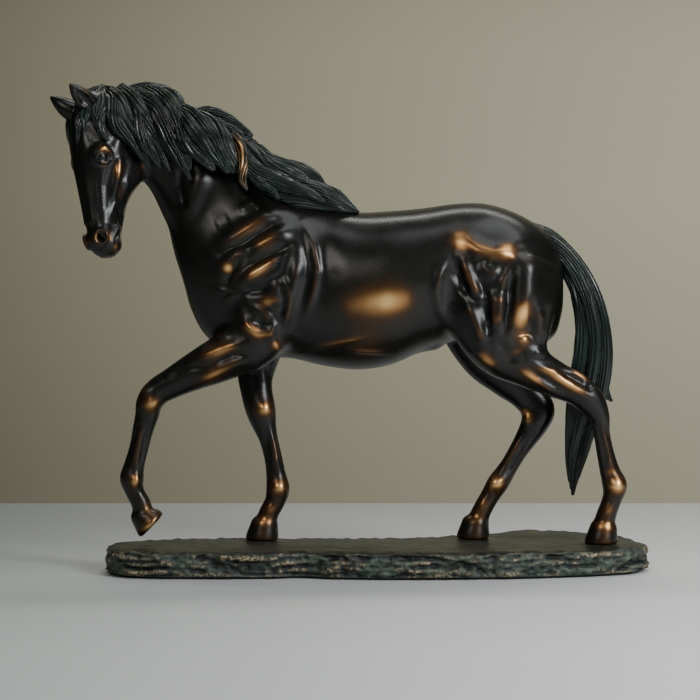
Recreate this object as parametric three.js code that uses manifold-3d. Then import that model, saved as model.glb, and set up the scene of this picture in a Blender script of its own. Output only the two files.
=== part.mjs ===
// Walking horse statuette: hollow bronze castings welded at the shoulders, hips, neck and poll,
// bolted through three hooves to a hollow rock-like base with a felt sheet glued under it.
// Millimetres, +Z up. The horse faces -X, its left side is towards -Y.
// The origin is on the felt's underside, below the middle of the horse's barrel.

import * as THREE from "three";
import { ParametricGeometry } from "three/addons/geometries/ParametricGeometry.js";
import { mergeVertices } from "three/addons/utils/BufferGeometryUtils.js";
import Module from "manifold-3d";

const wasm = await Module();
wasm.setup();

// ---------- driving dimensions ----------
const GAP = 0.3; // clearance between neighbouring pieces
const WALL = 5; // casting wall
const FELT = 1.2; // felt thickness
const BASE_BOTTOM = FELT + GAP;
const BASE_TOP = 19; // where the hooves stand
const BASE_PLATE = 7; // thickness of the base's top plate
const HOOF_HEIGHT = 14;
const STUD_RADIUS = 2.5; // M5
const STUD_IN_HOOF = 11;
const STUD_BELOW_PLATE = 8;
const WASHER_RADIUS = 7.5;
const WASHER_THICKNESS = 1.2;
const NUT_RADIUS = 4.6; // across corners
const NUT_THICKNESS = 4;
const SPIGOT_RADIUS = 4; // locating spigot cast on each limb
const SPIGOT_LENGTH = 6;

const BRONZE = { color: 0x1d1a17, roughness: 0.35, metalness: 0.9 };
const HAIR_BRONZE = { color: 0x17211e, roughness: 0.45, metalness: 0.8 };
const ROCK_BRONZE = { color: 0x24302b, roughness: 0.7, metalness: 0.5 };
const STEEL = { color: 0x9a9a98, roughness: 0.4, metalness: 1 };
const FELT_LOOK = { color: 0x20242a, roughness: 1, metalness: 0 };

// ---------- solids ----------
const vec = (x, y, z) => new THREE.Vector3(x, y, z);
const SIDEWAYS = vec(0, 1, 0);

// A closed three.js geometry as a manifold-3d solid, merged on position.
function solid(geometry) {
  const plain = geometry.index ? geometry.toNonIndexed() : geometry.clone();
  plain.deleteAttribute("normal");
  plain.deleteAttribute("uv");
  const merged = mergeVertices(plain, 1e-3);
  const index = merged.index.array;
  const kept = [];
  for (let i = 0; i < index.length; i += 3) {
    const [a, b, c] = [index[i], index[i + 1], index[i + 2]];
    if (a !== b && b !== c && a !== c) kept.push(a, b, c);
  }
  const mesh = new wasm.Mesh({
    numProp: 3,
    vertProperties: merged.attributes.position.array,
    triVerts: new Uint32Array(kept),
  });
  const made = new wasm.Manifold(mesh);
  if (made.volume() > 0) return made;
  for (let i = 0; i < kept.length; i += 3) [kept[i + 1], kept[i + 2]] = [kept[i + 2], kept[i + 1]];
  mesh.triVerts = new Uint32Array(kept);
  return new wasm.Manifold(mesh);
}

// A solid back as a three.js mesh.
function meshOf(name, shape, look) {
  const from = shape.getMesh();
  const points = new Float32Array(from.numVert * 3);
  for (let i = 0; i < from.numVert; i++) {
    points.set(from.vertProperties.subarray(i * from.numProp, i * from.numProp + 3), i * 3);
  }
  const geometry = new THREE.BufferGeometry();
  geometry.setAttribute("position", new THREE.BufferAttribute(points, 3));
  geometry.setIndex(new THREE.BufferAttribute(from.triVerts, 1));
  geometry.computeVertexNormals();
  const mesh = new THREE.Mesh(geometry, new THREE.MeshStandardMaterial(look));
  mesh.name = name;
  return mesh;
}

// The biggest body of a cut solid, without crumbs that a cut left.
function mainBody(shape) {
  return shape.decompose().sort((a, b) => b.volume() - a.volume())[0];
}

// A smooth closed skin over rings {at, up, side}: each ring is an ellipse with those two half axes.
// grow moves the skin out, or in where it is negative.
function skin(rings, { around = 14, along = 2, grow = 0 } = {}) {
  const grown = (v) => v.clone().setLength(Math.max(0.4, v.length() + grow));
  const centres = new THREE.CatmullRomCurve3(rings.map((r) => r.at));
  const ups = new THREE.CatmullRomCurve3(rings.map((r) => grown(r.up)));
  const sides = new THREE.CatmullRomCurve3(rings.map((r) => grown(r.side)));
  const rows = (rings.length - 1) * along + 2;
  const point = (turn, run, target) => {
    const row = Math.round(run * rows);
    const t = Math.min(1, Math.max(0, (row - 1) / (rows - 2)));
    target.copy(centres.getPoint(t));
    if (row === 0 || row === rows) return;
    const angle = (turn % 1) * 2 * Math.PI;
    target.addScaledVector(ups.getPoint(t), Math.cos(angle));
    target.addScaledVector(sides.getPoint(t), Math.sin(angle));
  };
  return solid(new ParametricGeometry(point, around, rows));
}

// Rings square to a path of stations [x, y, z, half depth, half width].
function ringsAlong(stations) {
  const path = stations.map(([x, y, z]) => vec(x, y, z));
  return stations.map(([, , , deep, wide], i) => {
    const before = path[Math.max(0, i - 1)];
    const after = path[Math.min(path.length - 1, i + 1)];
    const run = after.clone().sub(before).normalize();
    const up = run.clone().cross(SIDEWAYS).setLength(deep);
    return { at: path[i], up, side: up.clone().cross(run).setLength(wide) };
  });
}

const limb = (stations, options) => skin(ringsAlong(stations), options);

// A cylinder standing on z = low, as a solid.
function post(x, y, low, height, radius, sides = 16) {
  const shape = new THREE.CylinderGeometry(radius, radius, height, sides);
  return solid(shape.rotateX(Math.PI / 2).translate(x, y, low + height / 2));
}

// Everything on the side of a plane that its normal points to.
const HALF = 500;
function halfSpace(point, normal) {
  const box = new THREE.BoxGeometry(2 * HALF, 2 * HALF, 2 * HALF);
  const turn = new THREE.Quaternion().setFromUnitVectors(vec(0, 0, 1), normal.clone().normalize());
  const centre = point.clone().addScaledVector(normal.clone().normalize(), HALF);
  return solid(box.applyQuaternion(turn).translate(centre.x, centre.y, centre.z));
}

// ---------- trunk ----------
// [x, height of the back, height of the belly, half width, how far the back is ahead of the belly]
const BARREL = [
  [-134, 221, 184, 9, 8],
  [-131, 231, 171, 18, 14],
  [-121, 243, 158, 26, 16],
  [-106, 251, 151, 31, 14],
  [-86, 256, 148, 34, 9],
  [-62, 257, 148, 36.5, 4],
  [-38, 254, 143, 39, 0],
  [-12, 250, 140, 42, 0],
  [12, 251, 144, 42.5, 0],
  [34, 253, 154, 40, 0],
  [56, 256, 160, 37.5, 0],
  [76, 256, 160, 38, 0],
  [94, 251, 158, 37, 0],
  [108, 244, 157, 32, 0],
  [119, 236, 159, 25, 0],
  [127, 226, 168, 16, 0],
  [130.5, 212, 182, 8, 0],
];
const barrelRings = BARREL.map(([x, top, bottom, wide, lean]) => ({
  at: vec(x, 0, (top + bottom) / 2),
  up: vec(-lean / 2, 0, (top - bottom) / 2),
  side: vec(0, wide, 0),
}));

// ---------- neck and head ----------
const NECK = [
  [-62, 0, 203, 46, 32],
  [-80, 0, 219, 44, 31],
  [-98, 0, 237, 42, 26.5],
  [-116, -1, 259, 35, 20.5],
  [-134, -3, 283, 29.5, 16.5],
  [-153, -6, 300, 26, 14],
  [-172, -11, 309, 22, 12],
  [-187, -14, 311, 17, 10],
];
// [height, front, back, half width] in the head's own frame, poll at its origin, face to -X
const HEAD = [
  [5, -4, 6, 6],
  [0, -9, 13, 11],
  [-12, -15, 23, 15],
  [-28, -18, 32, 17.5],
  [-43, -18.5, 36, 19],
  [-57, -17, 32, 16],
  [-69, -15.5, 20, 13],
  [-80, -14, 10, 11],
  [-91, -13.5, 7, 10],
  [-100, -13, 8, 11],
  [-107, -10, 7, 9.5],
  [-111, -5, 3, 5],
];
// [x, y, z, half depth, half width] of an ear in the head's frame
const EAR = [
  [-2, 6.5, -8, 4.8, 4.4],
  [-8, 8.5, -4, 6.2, 4.6],
  [-16, 11, 1.5, 5.2, 3.6],
  [-24, 13, 7, 0.9, 0.8],
];
const HEAD_AT = vec(-197, -14, 328);
const HEAD_ROLL = THREE.MathUtils.degToRad(-12);
const HEAD_YAW = THREE.MathUtils.degToRad(36);
const HEAD_TURN = new THREE.Euler(HEAD_ROLL, 0, HEAD_YAW, "ZYX");

// Moves rings from the head's own frame to the statuette's.
function onHead(rings) {
  return rings.map(({ at, up, side }) => ({
    at: at.clone().applyEuler(HEAD_TURN).add(HEAD_AT),
    up: up.clone().applyEuler(HEAD_TURN),
    side: side.clone().applyEuler(HEAD_TURN),
  }));
}

const headRings = onHead(
  HEAD.map(([z, front, back, wide]) => ({
    at: vec((front + back) / 2, 0, z),
    up: vec((front - back) / 2, 0, 0),
    side: vec(0, wide, 0),
  })),
);
const earRings = (left) =>
  onHead(
    ringsAlong(EAR.map(([x, y, z, deep, wide]) => [x, left ? y : -y, z, deep, wide])),
  );

// ---------- legs: [x, y, z, half depth, half width], from inside the trunk to the hoof ----------
const LEFT_FORELEG = [
  [-62, -17, 226, 22, 12],
  [-75, -21, 192, 25, 14],
  [-84, -25, 163, 20, 14],
  [-100, -25, 152.5, 16.6, 12],
  [-113.5, -24, 146, 15.2, 11],
  [-128, -22, 139, 12.8, 10],
  [-142, -20, 131.5, 10.7, 8.8],
  [-152, -18.5, 125.5, 9.8, 8.5],
  [-157.5, -18, 118, 9.3, 8.6],
  [-159, -18, 110, 8.5, 7.5],
  [-161.5, -18, 101, 7.6, 6.4],
  [-165, -18, 86, 7, 6],
  [-168.5, -18, 73, 7.5, 6.6],
  [-169.8, -18, 65, 8.6, 8],
  [-168, -18, 56.5, 6.8, 6.6],
  [-163.5, -18, 47.5, 7, 7],
  [-162, -18, 41, 7, 7],
];
const RIGHT_FORELEG = [
  [-62, 17, 226, 22, 12],
  [-72, 22, 190, 24, 13],
  [-80, 23, 160, 17, 13],
  [-85, 20, 135, 12.8, 10.5],
  [-84, 16, 123, 11.3, 9],
  [-81.5, 14, 112, 10.9, 9.2],
  [-80, 14, 105.5, 10, 9],
  [-78, 13, 98, 8.2, 7.2],
  [-75.5, 12, 90, 6.9, 6.2],
  [-72, 10, 76, 6.6, 6],
  [-70.3, 9.5, 65, 7.2, 6.4],
  [-69, 9, 55, 8.5, 8],
  [-71.2, 8, 46, 7.3, 6.8],
  [-75.5, 8, 38, 7.2, 7.2],
  [-78, 8, 29, 7.5, 7.5],
];
const RIGHT_HINDLEG = [
  [82, 18, 215, 36, 17],
  [76, 24, 176, 33, 16],
  [82, 24, 150, 23, 14],
  [94, 22, 134, 16.3, 11],
  [107, 20, 121, 12.4, 8.8],
  [115, 19, 110, 12, 8.6],
  [112.5, 18, 101, 10.2, 8],
  [107, 18, 91, 8.3, 6.8],
  [100.5, 17, 81, 7, 6.2],
  [94, 17, 70, 6.8, 6],
  [86.5, 16, 58.5, 7.8, 7.6],
  [81.5, 16, 50.5, 7, 6.8],
  [74.5, 15, 38, 7, 7.2],
  [71, 15, 29, 7.5, 7.5],
];
const LEFT_HINDLEG = [
  [84, -18, 215, 38, 17],
  [80, -25, 180, 33, 17],
  [86, -26, 158, 22, 15],
  [104, -25, 145, 16, 12],
  [124, -23, 134.5, 12.8, 9.5],
  [139.5, -21, 127, 11.2, 8.6],
  [149.5, -19, 118, 10.2, 8.4],
  [155, -18, 108, 7.4, 7.2],
  [156.5, -18, 98, 6, 6.2],
  [159, -17, 85, 6.2, 6],
  [163, -16, 69, 7.4, 6.6],
  [166, -16, 60, 8.9, 8],
  [164.5, -15, 51, 7, 6.8],
  [160, -15, 38, 7.2, 7.2],
  [158, -15, 29, 7.5, 7.5],
];

// A hoof on its sole at the origin, toe to -X. heel and toe are the wall's heights there.
function hoof(at, pitch, heel = HOOF_HEIGHT - 2, toe = HOOF_HEIGHT + 1) {
  const ring = (x, low, high, long, wide) => ({
    at: vec(x, 0, (low + high) / 2),
    up: vec(-long, 0, (high - low) / 2),
    side: vec(0, wide, 0),
  });
  const made = skin(
    [
      ring(0, 0, 0, 12.2, 11.4),
      ring(0.6, heel * 0.3, toe * 0.3, 11.4, 10.8),
      ring(1.8, heel * 0.75, toe * 0.75, 9.9, 9.4),
      ring(2.4, heel, toe, 9, 8.6),
      ring(3.2, heel + 2, toe + 2, 6.8, 6.6),
    ],
    { along: 1 },
  );
  return made.rotate([0, pitch, 0]).translate([at.x, at.y, at.z]);
}

const STAND = BASE_TOP + GAP;
const legs = [
  {
    name: "left_foreleg",
    stations: LEFT_FORELEG,
    cutAt: 3,
    hoof: hoof(vec(-155.8, -18, 32), -46, 5, 15),
  },
  {
    name: "right_foreleg",
    stations: RIGHT_FORELEG,
    cutAt: 3,
    stud: vec(-80.5, 8, STAND),
  },
  {
    name: "left_hindleg",
    stations: LEFT_HINDLEG,
    cutAt: 3,
    stud: vec(156.5, -15, STAND),
  },
  {
    name: "right_hindleg",
    stations: RIGHT_HINDLEG,
    cutAt: 3,
    stud: vec(68.5, 15, STAND),
  },
];

// The welded joint of a leg: the plane through station cutAt, facing down the leg.
function legCut({ stations, cutAt }) {
  const [here, next] = [stations[cutAt], stations[cutAt + 1]].map(([x, y, z]) => vec(x, y, z));
  return { point: here, normal: next.sub(here).normalize() };
}

const shifted = (cut, by) => cut.point.clone().addScaledVector(cut.normal, by);

function trunkBody(grow = 0) {
  let body = skin(barrelRings, { around: 24, grow });
  for (const leg of legs) {
    const cut = legCut(leg);
    const beyond = halfSpace(shifted(cut, grow), cut.normal);
    body = body.add(limb(leg.stations.slice(0, leg.cutAt + 2), { grow }).subtract(beyond));
  }
  return body;
}

const neckCut = { point: vec(-88, 0, 232), normal: vec(-0.5, 0, 0.866) };

const neckSkin = (grow = 0) => limb(NECK, { around: 20, grow });
function headBody(grow = 0) {
  const skull = skin(headRings, { around: 20, grow });
  const ears = [true, false].map((left) => skin(earRings(left), { around: 10, grow }));
  return skull.add(ears[0]).add(ears[1]);
}

// A round spigot across a welded joint, and the socket that takes it.
function spigot(cut, radius, reach) {
  const shape = new THREE.CylinderGeometry(radius, radius, 2 * reach, 12);
  const turn = new THREE.Quaternion().setFromUnitVectors(vec(0, 1, 0), cut.normal);
  const at = cut.point;
  return solid(shape.applyQuaternion(turn).translate(at.x, at.y, at.z));
}

// ---------- castings ----------
const root = new THREE.Group();
const add = (name, shape, look) => root.add(meshOf(name, mainBody(shape), look));

const aboveNeckCut = halfSpace(shifted(neckCut, GAP), neckCut.normal);
const core = skin(barrelRings.slice(2, -2), { around: 16, along: 1, grow: -WALL });
const neckCore = limb(NECK.slice(1), { along: 1, grow: -WALL });
const hollow = trunkBody().add(neckSkin()).subtract(core).subtract(neckCore);
let trunk = hollow.subtract(halfSpace(neckCut.point, neckCut.normal));
for (const leg of legs) {
  trunk = trunk.subtract(spigot(legCut(leg), SPIGOT_RADIUS + GAP, SPIGOT_LENGTH + GAP));
}
const neck = hollow.intersect(aboveNeckCut).subtract(headBody(GAP));

// ---------- tail and mane: [x, y, z, half depth, half width] ----------
const TAIL = [
  [112, 2, 232, 5, 4],
  [121, 4, 230, 6.5, 5.5],
  [130, 5, 226, 7.2, 6.5],
  [138, 6, 218, 7, 7],
  [144.5, 6, 206, 7.2, 8],
  [148.5, 6, 192, 8.5, 9],
  [151, 6, 176, 11, 9.5],
  [151.8, 6, 158, 13, 10],
  [151, 7, 140, 15, 9.5],
  [149, 7, 122, 15, 9],
  [146.8, 7, 104, 13, 8],
  [144.5, 7, 86, 10.4, 7],
  [141.5, 7, 68, 7.4, 5.4],
  [138.5, 7, 50, 1.6, 1.4],
];
const FORELOCK = [
  [-194, -12, 333, 4, 5],
  [-203, -14, 332, 5, 8],
  [-211, -18, 322, 4.5, 8],
  [-214, -23, 309, 2, 4],
];
const MANE_FRONT = [
  [-189, -10, 331, 5, 7],
  [-172, -9, 328, 9, 12],
  [-157, -13, 324, 14, 13],
  [-147, -18, 306, 16, 10],
  [-140, -21, 288, 13, 7],
  [-132, -21, 272, 3, 3],
];
const MANE_MIDDLE = [
  [-142, -10, 320, 6, 8],
  [-126, -13, 311, 11, 10],
  [-114, -18, 298, 14, 9],
  [-106, -22, 283, 12, 7],
  [-99, -25, 268, 3, 3],
];
const MANE_CREST = [
  [-136, 4, 317, 6, 8],
  [-120, 3, 313, 8, 10],
  [-104, 0, 306, 9, 11],
  [-92, -3, 301, 7.5, 9],
  [-84, -5, 297, 2.5, 3],
];
const MANE_REAR = [
  [-98, -4, 298, 5, 8],
  [-82, -6, 287, 9, 11],
  [-64, -8, 276, 10.5, 12.5],
  [-46, -8, 270, 10, 10],
  [-30, -7, 259, 7, 7],
  [-15, -5, 253, 2, 3],
];

const bodies = [trunkBody(GAP), neckSkin(GAP), headBody(GAP)];
const clear = (shape, others) => others.reduce((left, other) => left.subtract(other), shape);

add("trunk_casting", trunk, BRONZE);
add("neck_casting", neck, BRONZE);
add("head_casting", headBody(), BRONZE);

// Each lock is cut back where it would meet the body or a lock laid on before it.
const locks = {
  forelock_casting: FORELOCK,
  mane_front_casting: MANE_FRONT,
  mane_middle_casting: MANE_MIDDLE,
  mane_crest_casting: MANE_CREST,
  mane_rear_casting: MANE_REAR,
  tail_casting: TAIL,
};
for (const [name, stations] of Object.entries(locks)) {
  add(name, clear(limb(stations), bodies), HAIR_BRONZE);
  bodies.push(limb(stations, { grow: GAP }));
}

for (const leg of legs) {
  const cut = legCut(leg);
  let shape = limb(leg.stations.slice(leg.cutAt - 1));
  shape = shape.intersect(halfSpace(shifted(cut, GAP), cut.normal));
  shape = shape.add(leg.hoof ?? hoof(leg.stud, 0)).subtract(trunkBody(GAP));
  shape = mainBody(shape).add(spigot(cut, SPIGOT_RADIUS, SPIGOT_LENGTH));
  if (leg.stud) {
    const depth = STUD_IN_HOOF + GAP;
    shape = shape.subtract(post(leg.stud.x, leg.stud.y, STAND - 1, depth + 1, STUD_RADIUS + GAP));
  }
  add(leg.name, shape, BRONZE);
}

// ---------- base ----------
const OUTLINE = [
  [-187, -12], [-185, -33], [-174, -49], [-154, -57], [-126, -59], [-96, -59], [-70, -58],
  [-56, -54], [-45, -55], [-34, -60], [-14, -62], [10, -64], [40, -63], [72, -61],
  [105, -57], [135, -50], [160, -42], [180, -30], [188, -14], [188, 4], [180, 20],
  [165, 34], [145, 45], [115, 52], [80, 51], [55, 42], [30, 33], [0, 30], [-30, 31],
  [-60, 29], [-90, 27], [-120, 26], [-150, 22], [-173, 12], [-184, 0],
];
const outlineCurve = new THREE.CatmullRomCurve3(OUTLINE.map(([x, y]) => vec(x, y, 0)), true);

// The base's outline moved in by inset, as points.
function outlinePoints(inset, count = 64) {
  return Array.from({ length: count }, (_, i) => {
    const at = outlineCurve.getPoint(i / count);
    const run = outlineCurve.getTangent(i / count);
    return new THREE.Vector2(at.x - run.y * inset, at.y + run.x * inset);
  });
}

function slab(inset, low, high, bevel = 0) {
  const shape = new THREE.Shape(outlinePoints(inset + bevel));
  const options = {
    depth: high - low - 2 * bevel,
    bevelEnabled: bevel > 0,
    bevelThickness: bevel,
    bevelSize: bevel,
    bevelSegments: 1,
  };
  return solid(new THREE.ExtrudeGeometry(shape, options).translate(0, 0, low + bevel));
}

const plateUnder = BASE_TOP - BASE_PLATE;
let base = slab(0, BASE_BOTTOM, BASE_TOP, 2.5).subtract(slab(WALL + 1, BASE_BOTTOM - 5, plateUnder));
const studs = legs.filter((leg) => leg.stud);
for (const { stud } of studs) {
  base = base.subtract(post(stud.x, stud.y, 0, BASE_TOP + 5, STUD_RADIUS + GAP));
}
add("base_casting", base, ROCK_BRONZE);
add("base_felt", slab(3, 0, FELT), FELT_LOOK);

for (const { name, stud } of studs) {
  const washerTop = plateUnder - GAP;
  const nutTop = washerTop - WASHER_THICKNESS - GAP;
  const low = plateUnder - STUD_BELOW_PLATE;
  const stem = post(stud.x, stud.y, low, STAND + STUD_IN_HOOF - low, STUD_RADIUS, 12);
  const hole = post(stud.x, stud.y, 0, BASE_TOP, STUD_RADIUS + GAP, 12);
  const washerBottom = washerTop - WASHER_THICKNESS;
  const washer = post(stud.x, stud.y, washerBottom, WASHER_THICKNESS, WASHER_RADIUS, 20);
  const nut = post(stud.x, stud.y, nutTop - NUT_THICKNESS, NUT_THICKNESS, NUT_RADIUS, 6);
  add(`${name}_stud`, stem, STEEL);
  add(`${name}_washer`, washer.subtract(hole), STEEL);
  add(`${name}_nut`, nut.subtract(hole), STEEL);
}

export default root;
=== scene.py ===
import math
import bmesh
import bpy
import numpy as np
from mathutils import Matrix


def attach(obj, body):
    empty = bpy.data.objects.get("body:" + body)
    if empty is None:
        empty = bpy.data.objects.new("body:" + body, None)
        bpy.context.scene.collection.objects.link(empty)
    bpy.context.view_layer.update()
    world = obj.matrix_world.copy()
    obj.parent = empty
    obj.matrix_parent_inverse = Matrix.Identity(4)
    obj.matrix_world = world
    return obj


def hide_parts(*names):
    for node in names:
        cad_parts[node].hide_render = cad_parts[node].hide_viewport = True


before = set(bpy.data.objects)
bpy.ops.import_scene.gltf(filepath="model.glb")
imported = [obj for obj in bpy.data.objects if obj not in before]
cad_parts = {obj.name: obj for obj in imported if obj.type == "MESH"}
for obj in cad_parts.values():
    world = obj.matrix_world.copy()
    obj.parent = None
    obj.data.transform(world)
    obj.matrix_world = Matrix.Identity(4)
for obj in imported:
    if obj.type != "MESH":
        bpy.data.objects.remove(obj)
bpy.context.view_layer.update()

import openvdb as vdb
from mathutils import Vector

mm = 0.001

# camera, level with the horse's head and tilted down a little
shot = {"place": (-18.2, -2000, 265), "tilt": 3.185, "lens": 147.2}
camera = bpy.data.objects.new("camera", bpy.data.cameras.new("camera"))
camera.location = [v * mm for v in shot["place"]]
camera.rotation_euler = (math.radians(90 - shot["tilt"]), 0, 0)
camera.data.lens = shot["lens"]
camera.data.clip_end = 20
bpy.context.collection.objects.link(camera)
bpy.context.scene.camera = camera
print("camera set")


# short ways to add shader nodes
def newMaterial(name):
    material = bpy.data.materials.new(name)
    material.use_nodes = True
    tree = material.node_tree
    shader = next(n for n in tree.nodes if n.type == "BSDF_PRINCIPLED")
    return material, tree, shader


def noiseAt(tree, coords, scale, detail=3, roughness=0.55, distortion=0.0):
    node = tree.nodes.new("ShaderNodeTexNoise")
    node.inputs["Scale"].default_value = scale
    node.inputs["Detail"].default_value = detail
    node.inputs["Roughness"].default_value = roughness
    node.inputs["Distortion"].default_value = distortion
    tree.links.new(coords, node.inputs["Vector"])
    return node.outputs["Fac"]


def rampOf(tree, value, stops):
    node = tree.nodes.new("ShaderNodeValToRGB")
    while len(node.color_ramp.elements) < len(stops):
        node.color_ramp.elements.new(0.5)
    for element, (at, colour) in zip(node.color_ramp.elements, stops):
        element.position = at
        element.color = (*colour, 1)
    tree.links.new(value, node.inputs["Fac"])
    return node.outputs["Color"]


def rangeOf(tree, value, fromLow, fromHigh, toLow, toHigh):
    node = tree.nodes.new("ShaderNodeMapRange")
    limits = {"From Min": fromLow, "From Max": fromHigh, "To Min": toLow, "To Max": toHigh}
    for name, number in limits.items():
        node.inputs[name].default_value = number
    tree.links.new(value, node.inputs["Value"])
    return node.outputs["Result"]


def mathOf(tree, kind, a, b, clamp=False):
    node = tree.nodes.new("ShaderNodeMath")
    node.operation = kind
    node.use_clamp = clamp
    for socket, value in zip(node.inputs, (a, b)):
        if isinstance(value, (int, float)):
            socket.default_value = value
        else:
            tree.links.new(value, socket)
    return node.outputs[0]


def mixOf(tree, factor, a, b):
    node = tree.nodes.new("ShaderNodeMix")
    node.data_type = "RGBA"
    tree.links.new(factor, node.inputs["Factor"])
    for name, value in (("A", a), ("B", b)):
        socket = next(s for s in node.inputs if s.name == name and s.type == "RGBA")
        if isinstance(value, tuple):
            socket.default_value = (*value, 1)
        else:
            tree.links.new(value, socket)
    return next(s for s in node.outputs if s.type == "RGBA")


def bumpOf(tree, height, strength, distance, before=None):
    node = tree.nodes.new("ShaderNodeBump")
    node.inputs["Strength"].default_value = strength
    node.inputs["Distance"].default_value = distance
    tree.links.new(height, node.inputs["Height"])
    if before:
        tree.links.new(before, node.inputs["Normal"])
    return node.outputs["Normal"]


def attributeOf(tree, name):
    node = tree.nodes.new("ShaderNodeAttribute")
    node.attribute_name = name
    return node.outputs["Fac"]


def objectCoords(tree):
    return tree.nodes.new("ShaderNodeTexCoord").outputs["Object"]


# black-brown patina, rubbed through to metal on the high places, and brightest gold at the painted highlight
# glows
bronzeLook = {
    "patina": (0.0055, 0.0062, 0.0050),
    "brown": (0.016, 0.011, 0.007),
    "worn": (0.085, 0.045, 0.022),
    "rubbed": (0.44, 0.235, 0.095),
    "polished": (0.90, 0.58, 0.25),
    "hollow": (0.0035, 0.0060, 0.0052),
    "shine": 0.38,
}


def bronzeMaterial(name, tint, second, roughness):
    material, tree, shader = newMaterial(name)
    place = objectCoords(tree)
    rub, hollow = attributeOf(tree, "rub"), attributeOf(tree, "hollow")
    cloud, grain = noiseAt(tree, place, 38, 4), noiseAt(tree, place, 900, 3)
    patchy = mathOf(tree, "MULTIPLY", rub, rangeOf(tree, cloud, 0.3, 0.7, 0.85, 1.15))
    patina = mixOf(tree, rangeOf(tree, cloud, 0.35, 0.7, 0, 0.7), tint, second)
    stages = zip((0, 0.25, 0.6, 1), ("brown", "worn", "rubbed", "polished"))
    metal = rampOf(tree, patchy, [(at, bronzeLook[stage]) for at, stage in stages])
    colour = mixOf(tree, rangeOf(tree, patchy, 0.02, 0.25, 0, 1), patina, metal)
    colour = mixOf(tree, rangeOf(tree, hollow, 0.1, 0.9, 0, 0.85), colour, bronzeLook["hollow"])
    tree.links.new(colour, shader.inputs["Base Color"])
    tree.links.new(rangeOf(tree, patchy, 0.04, 0.35, 0, 1), shader.inputs["Metallic"])
    uneven = rangeOf(tree, cloud, 0.3, 0.7, roughness - 0.03, roughness + 0.05)
    rough = mathOf(tree, "ADD", rangeOf(tree, grain, 0.3, 0.7, -0.02, 0.03), uneven)
    rough = mathOf(tree, "ADD", rough, rangeOf(tree, patchy, 0, 0.8, 0, 0.08))
    tree.links.new(rough, shader.inputs["Roughness"])
    shader.inputs["Specular IOR Level"].default_value = bronzeLook["shine"]
    fine = bumpOf(tree, grain, 0.05, 0.0001)
    tree.links.new(bumpOf(tree, noiseAt(tree, place, 90, 2), 0.06, 0.0010, fine), shader.inputs["Normal"])
    return material


bodyBronze = bronzeMaterial("bodyPatina", bronzeLook["patina"], (0.0085, 0.0088, 0.0072), 0.27)
hairBronze = bronzeMaterial("hairPatina", (0.0065, 0.0135, 0.0120), (0.019, 0.039, 0.035), 0.22)


# shaping tools, in millimetres
def smoothRows(rows, steps):
    # a smooth run through rows of numbers, whose first three are a place
    rows = np.asarray(rows, float)
    gaps = np.linalg.norm(np.diff(rows[:, :3], axis=0), axis=1) ** 0.5
    t = np.r_[0, np.cumsum(gaps)]
    slope = np.diff(rows, axis=0) / gaps[:, None]
    inner = (slope[:-1] * gaps[1:, None] + slope[1:] * gaps[:-1, None]) / (gaps[1:] + gaps[:-1])[:, None]
    tangents = np.vstack([slope[:1], inner, slope[-1:]])
    made = []
    for i, gap in enumerate(gaps):
        for u in np.arange(steps) / steps:
            a, b = rows[i], rows[i + 1]
            made.append(
                (1 + 2 * u) * (1 - u) ** 2 * a
                + u * (1 - u) ** 2 * gap * tangents[i]
                + u * u * (3 - 2 * u) * b
                + u * u * (u - 1) * gap * tangents[i + 1]
            )
    made.append(rows[-1])
    return np.array(made)


def unit(v):
    return v / np.maximum(np.linalg.norm(v, axis=-1, keepdims=True), 1e-9)


def closedTube(rings):
    # rings: (count, around, 3) to a closed quad skin with a pole at each end
    count, around, _ = rings.shape
    points = np.vstack([rings.reshape(-1, 3), rings[0].mean(0), rings[-1].mean(0)])
    i, j = np.meshgrid(np.arange(count - 1), np.arange(around), indexing="ij")
    k = (j + 1) % around
    here, above = i * around, (i + 1) * around
    quads = np.stack([here + j, here + k, above + k, above + j], -1).reshape(-1, 4)
    ring = np.arange(around)
    last = (count - 1) * around
    start = np.stack([np.full(around, count * around), (ring + 1) % around, ring], -1)
    end = np.stack([np.full(around, count * around + 1), last + ring, last + (ring + 1) % around], -1)
    return points, quads, np.vstack([start, end])


def ringsOf(rows, lateral=(0, 1, 0), around=72, steps=8):
    # rows: x, y, z, half depth, half width along a limb
    path = smoothRows(rows, steps)
    run = unit(np.gradient(path[:, :3], axis=0))
    up = unit(np.cross(run, np.array(lateral, float)))
    side = np.cross(up, run)
    angle = np.linspace(0, 2 * math.pi, around, endpoint=False)
    deep = path[:, 3, None, None] * np.cos(angle)[None, :, None] * up[:, None]
    wide = path[:, 4, None, None] * np.sin(angle)[None, :, None] * side[:, None]
    return path[:, None, :3] + deep + wide


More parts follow.
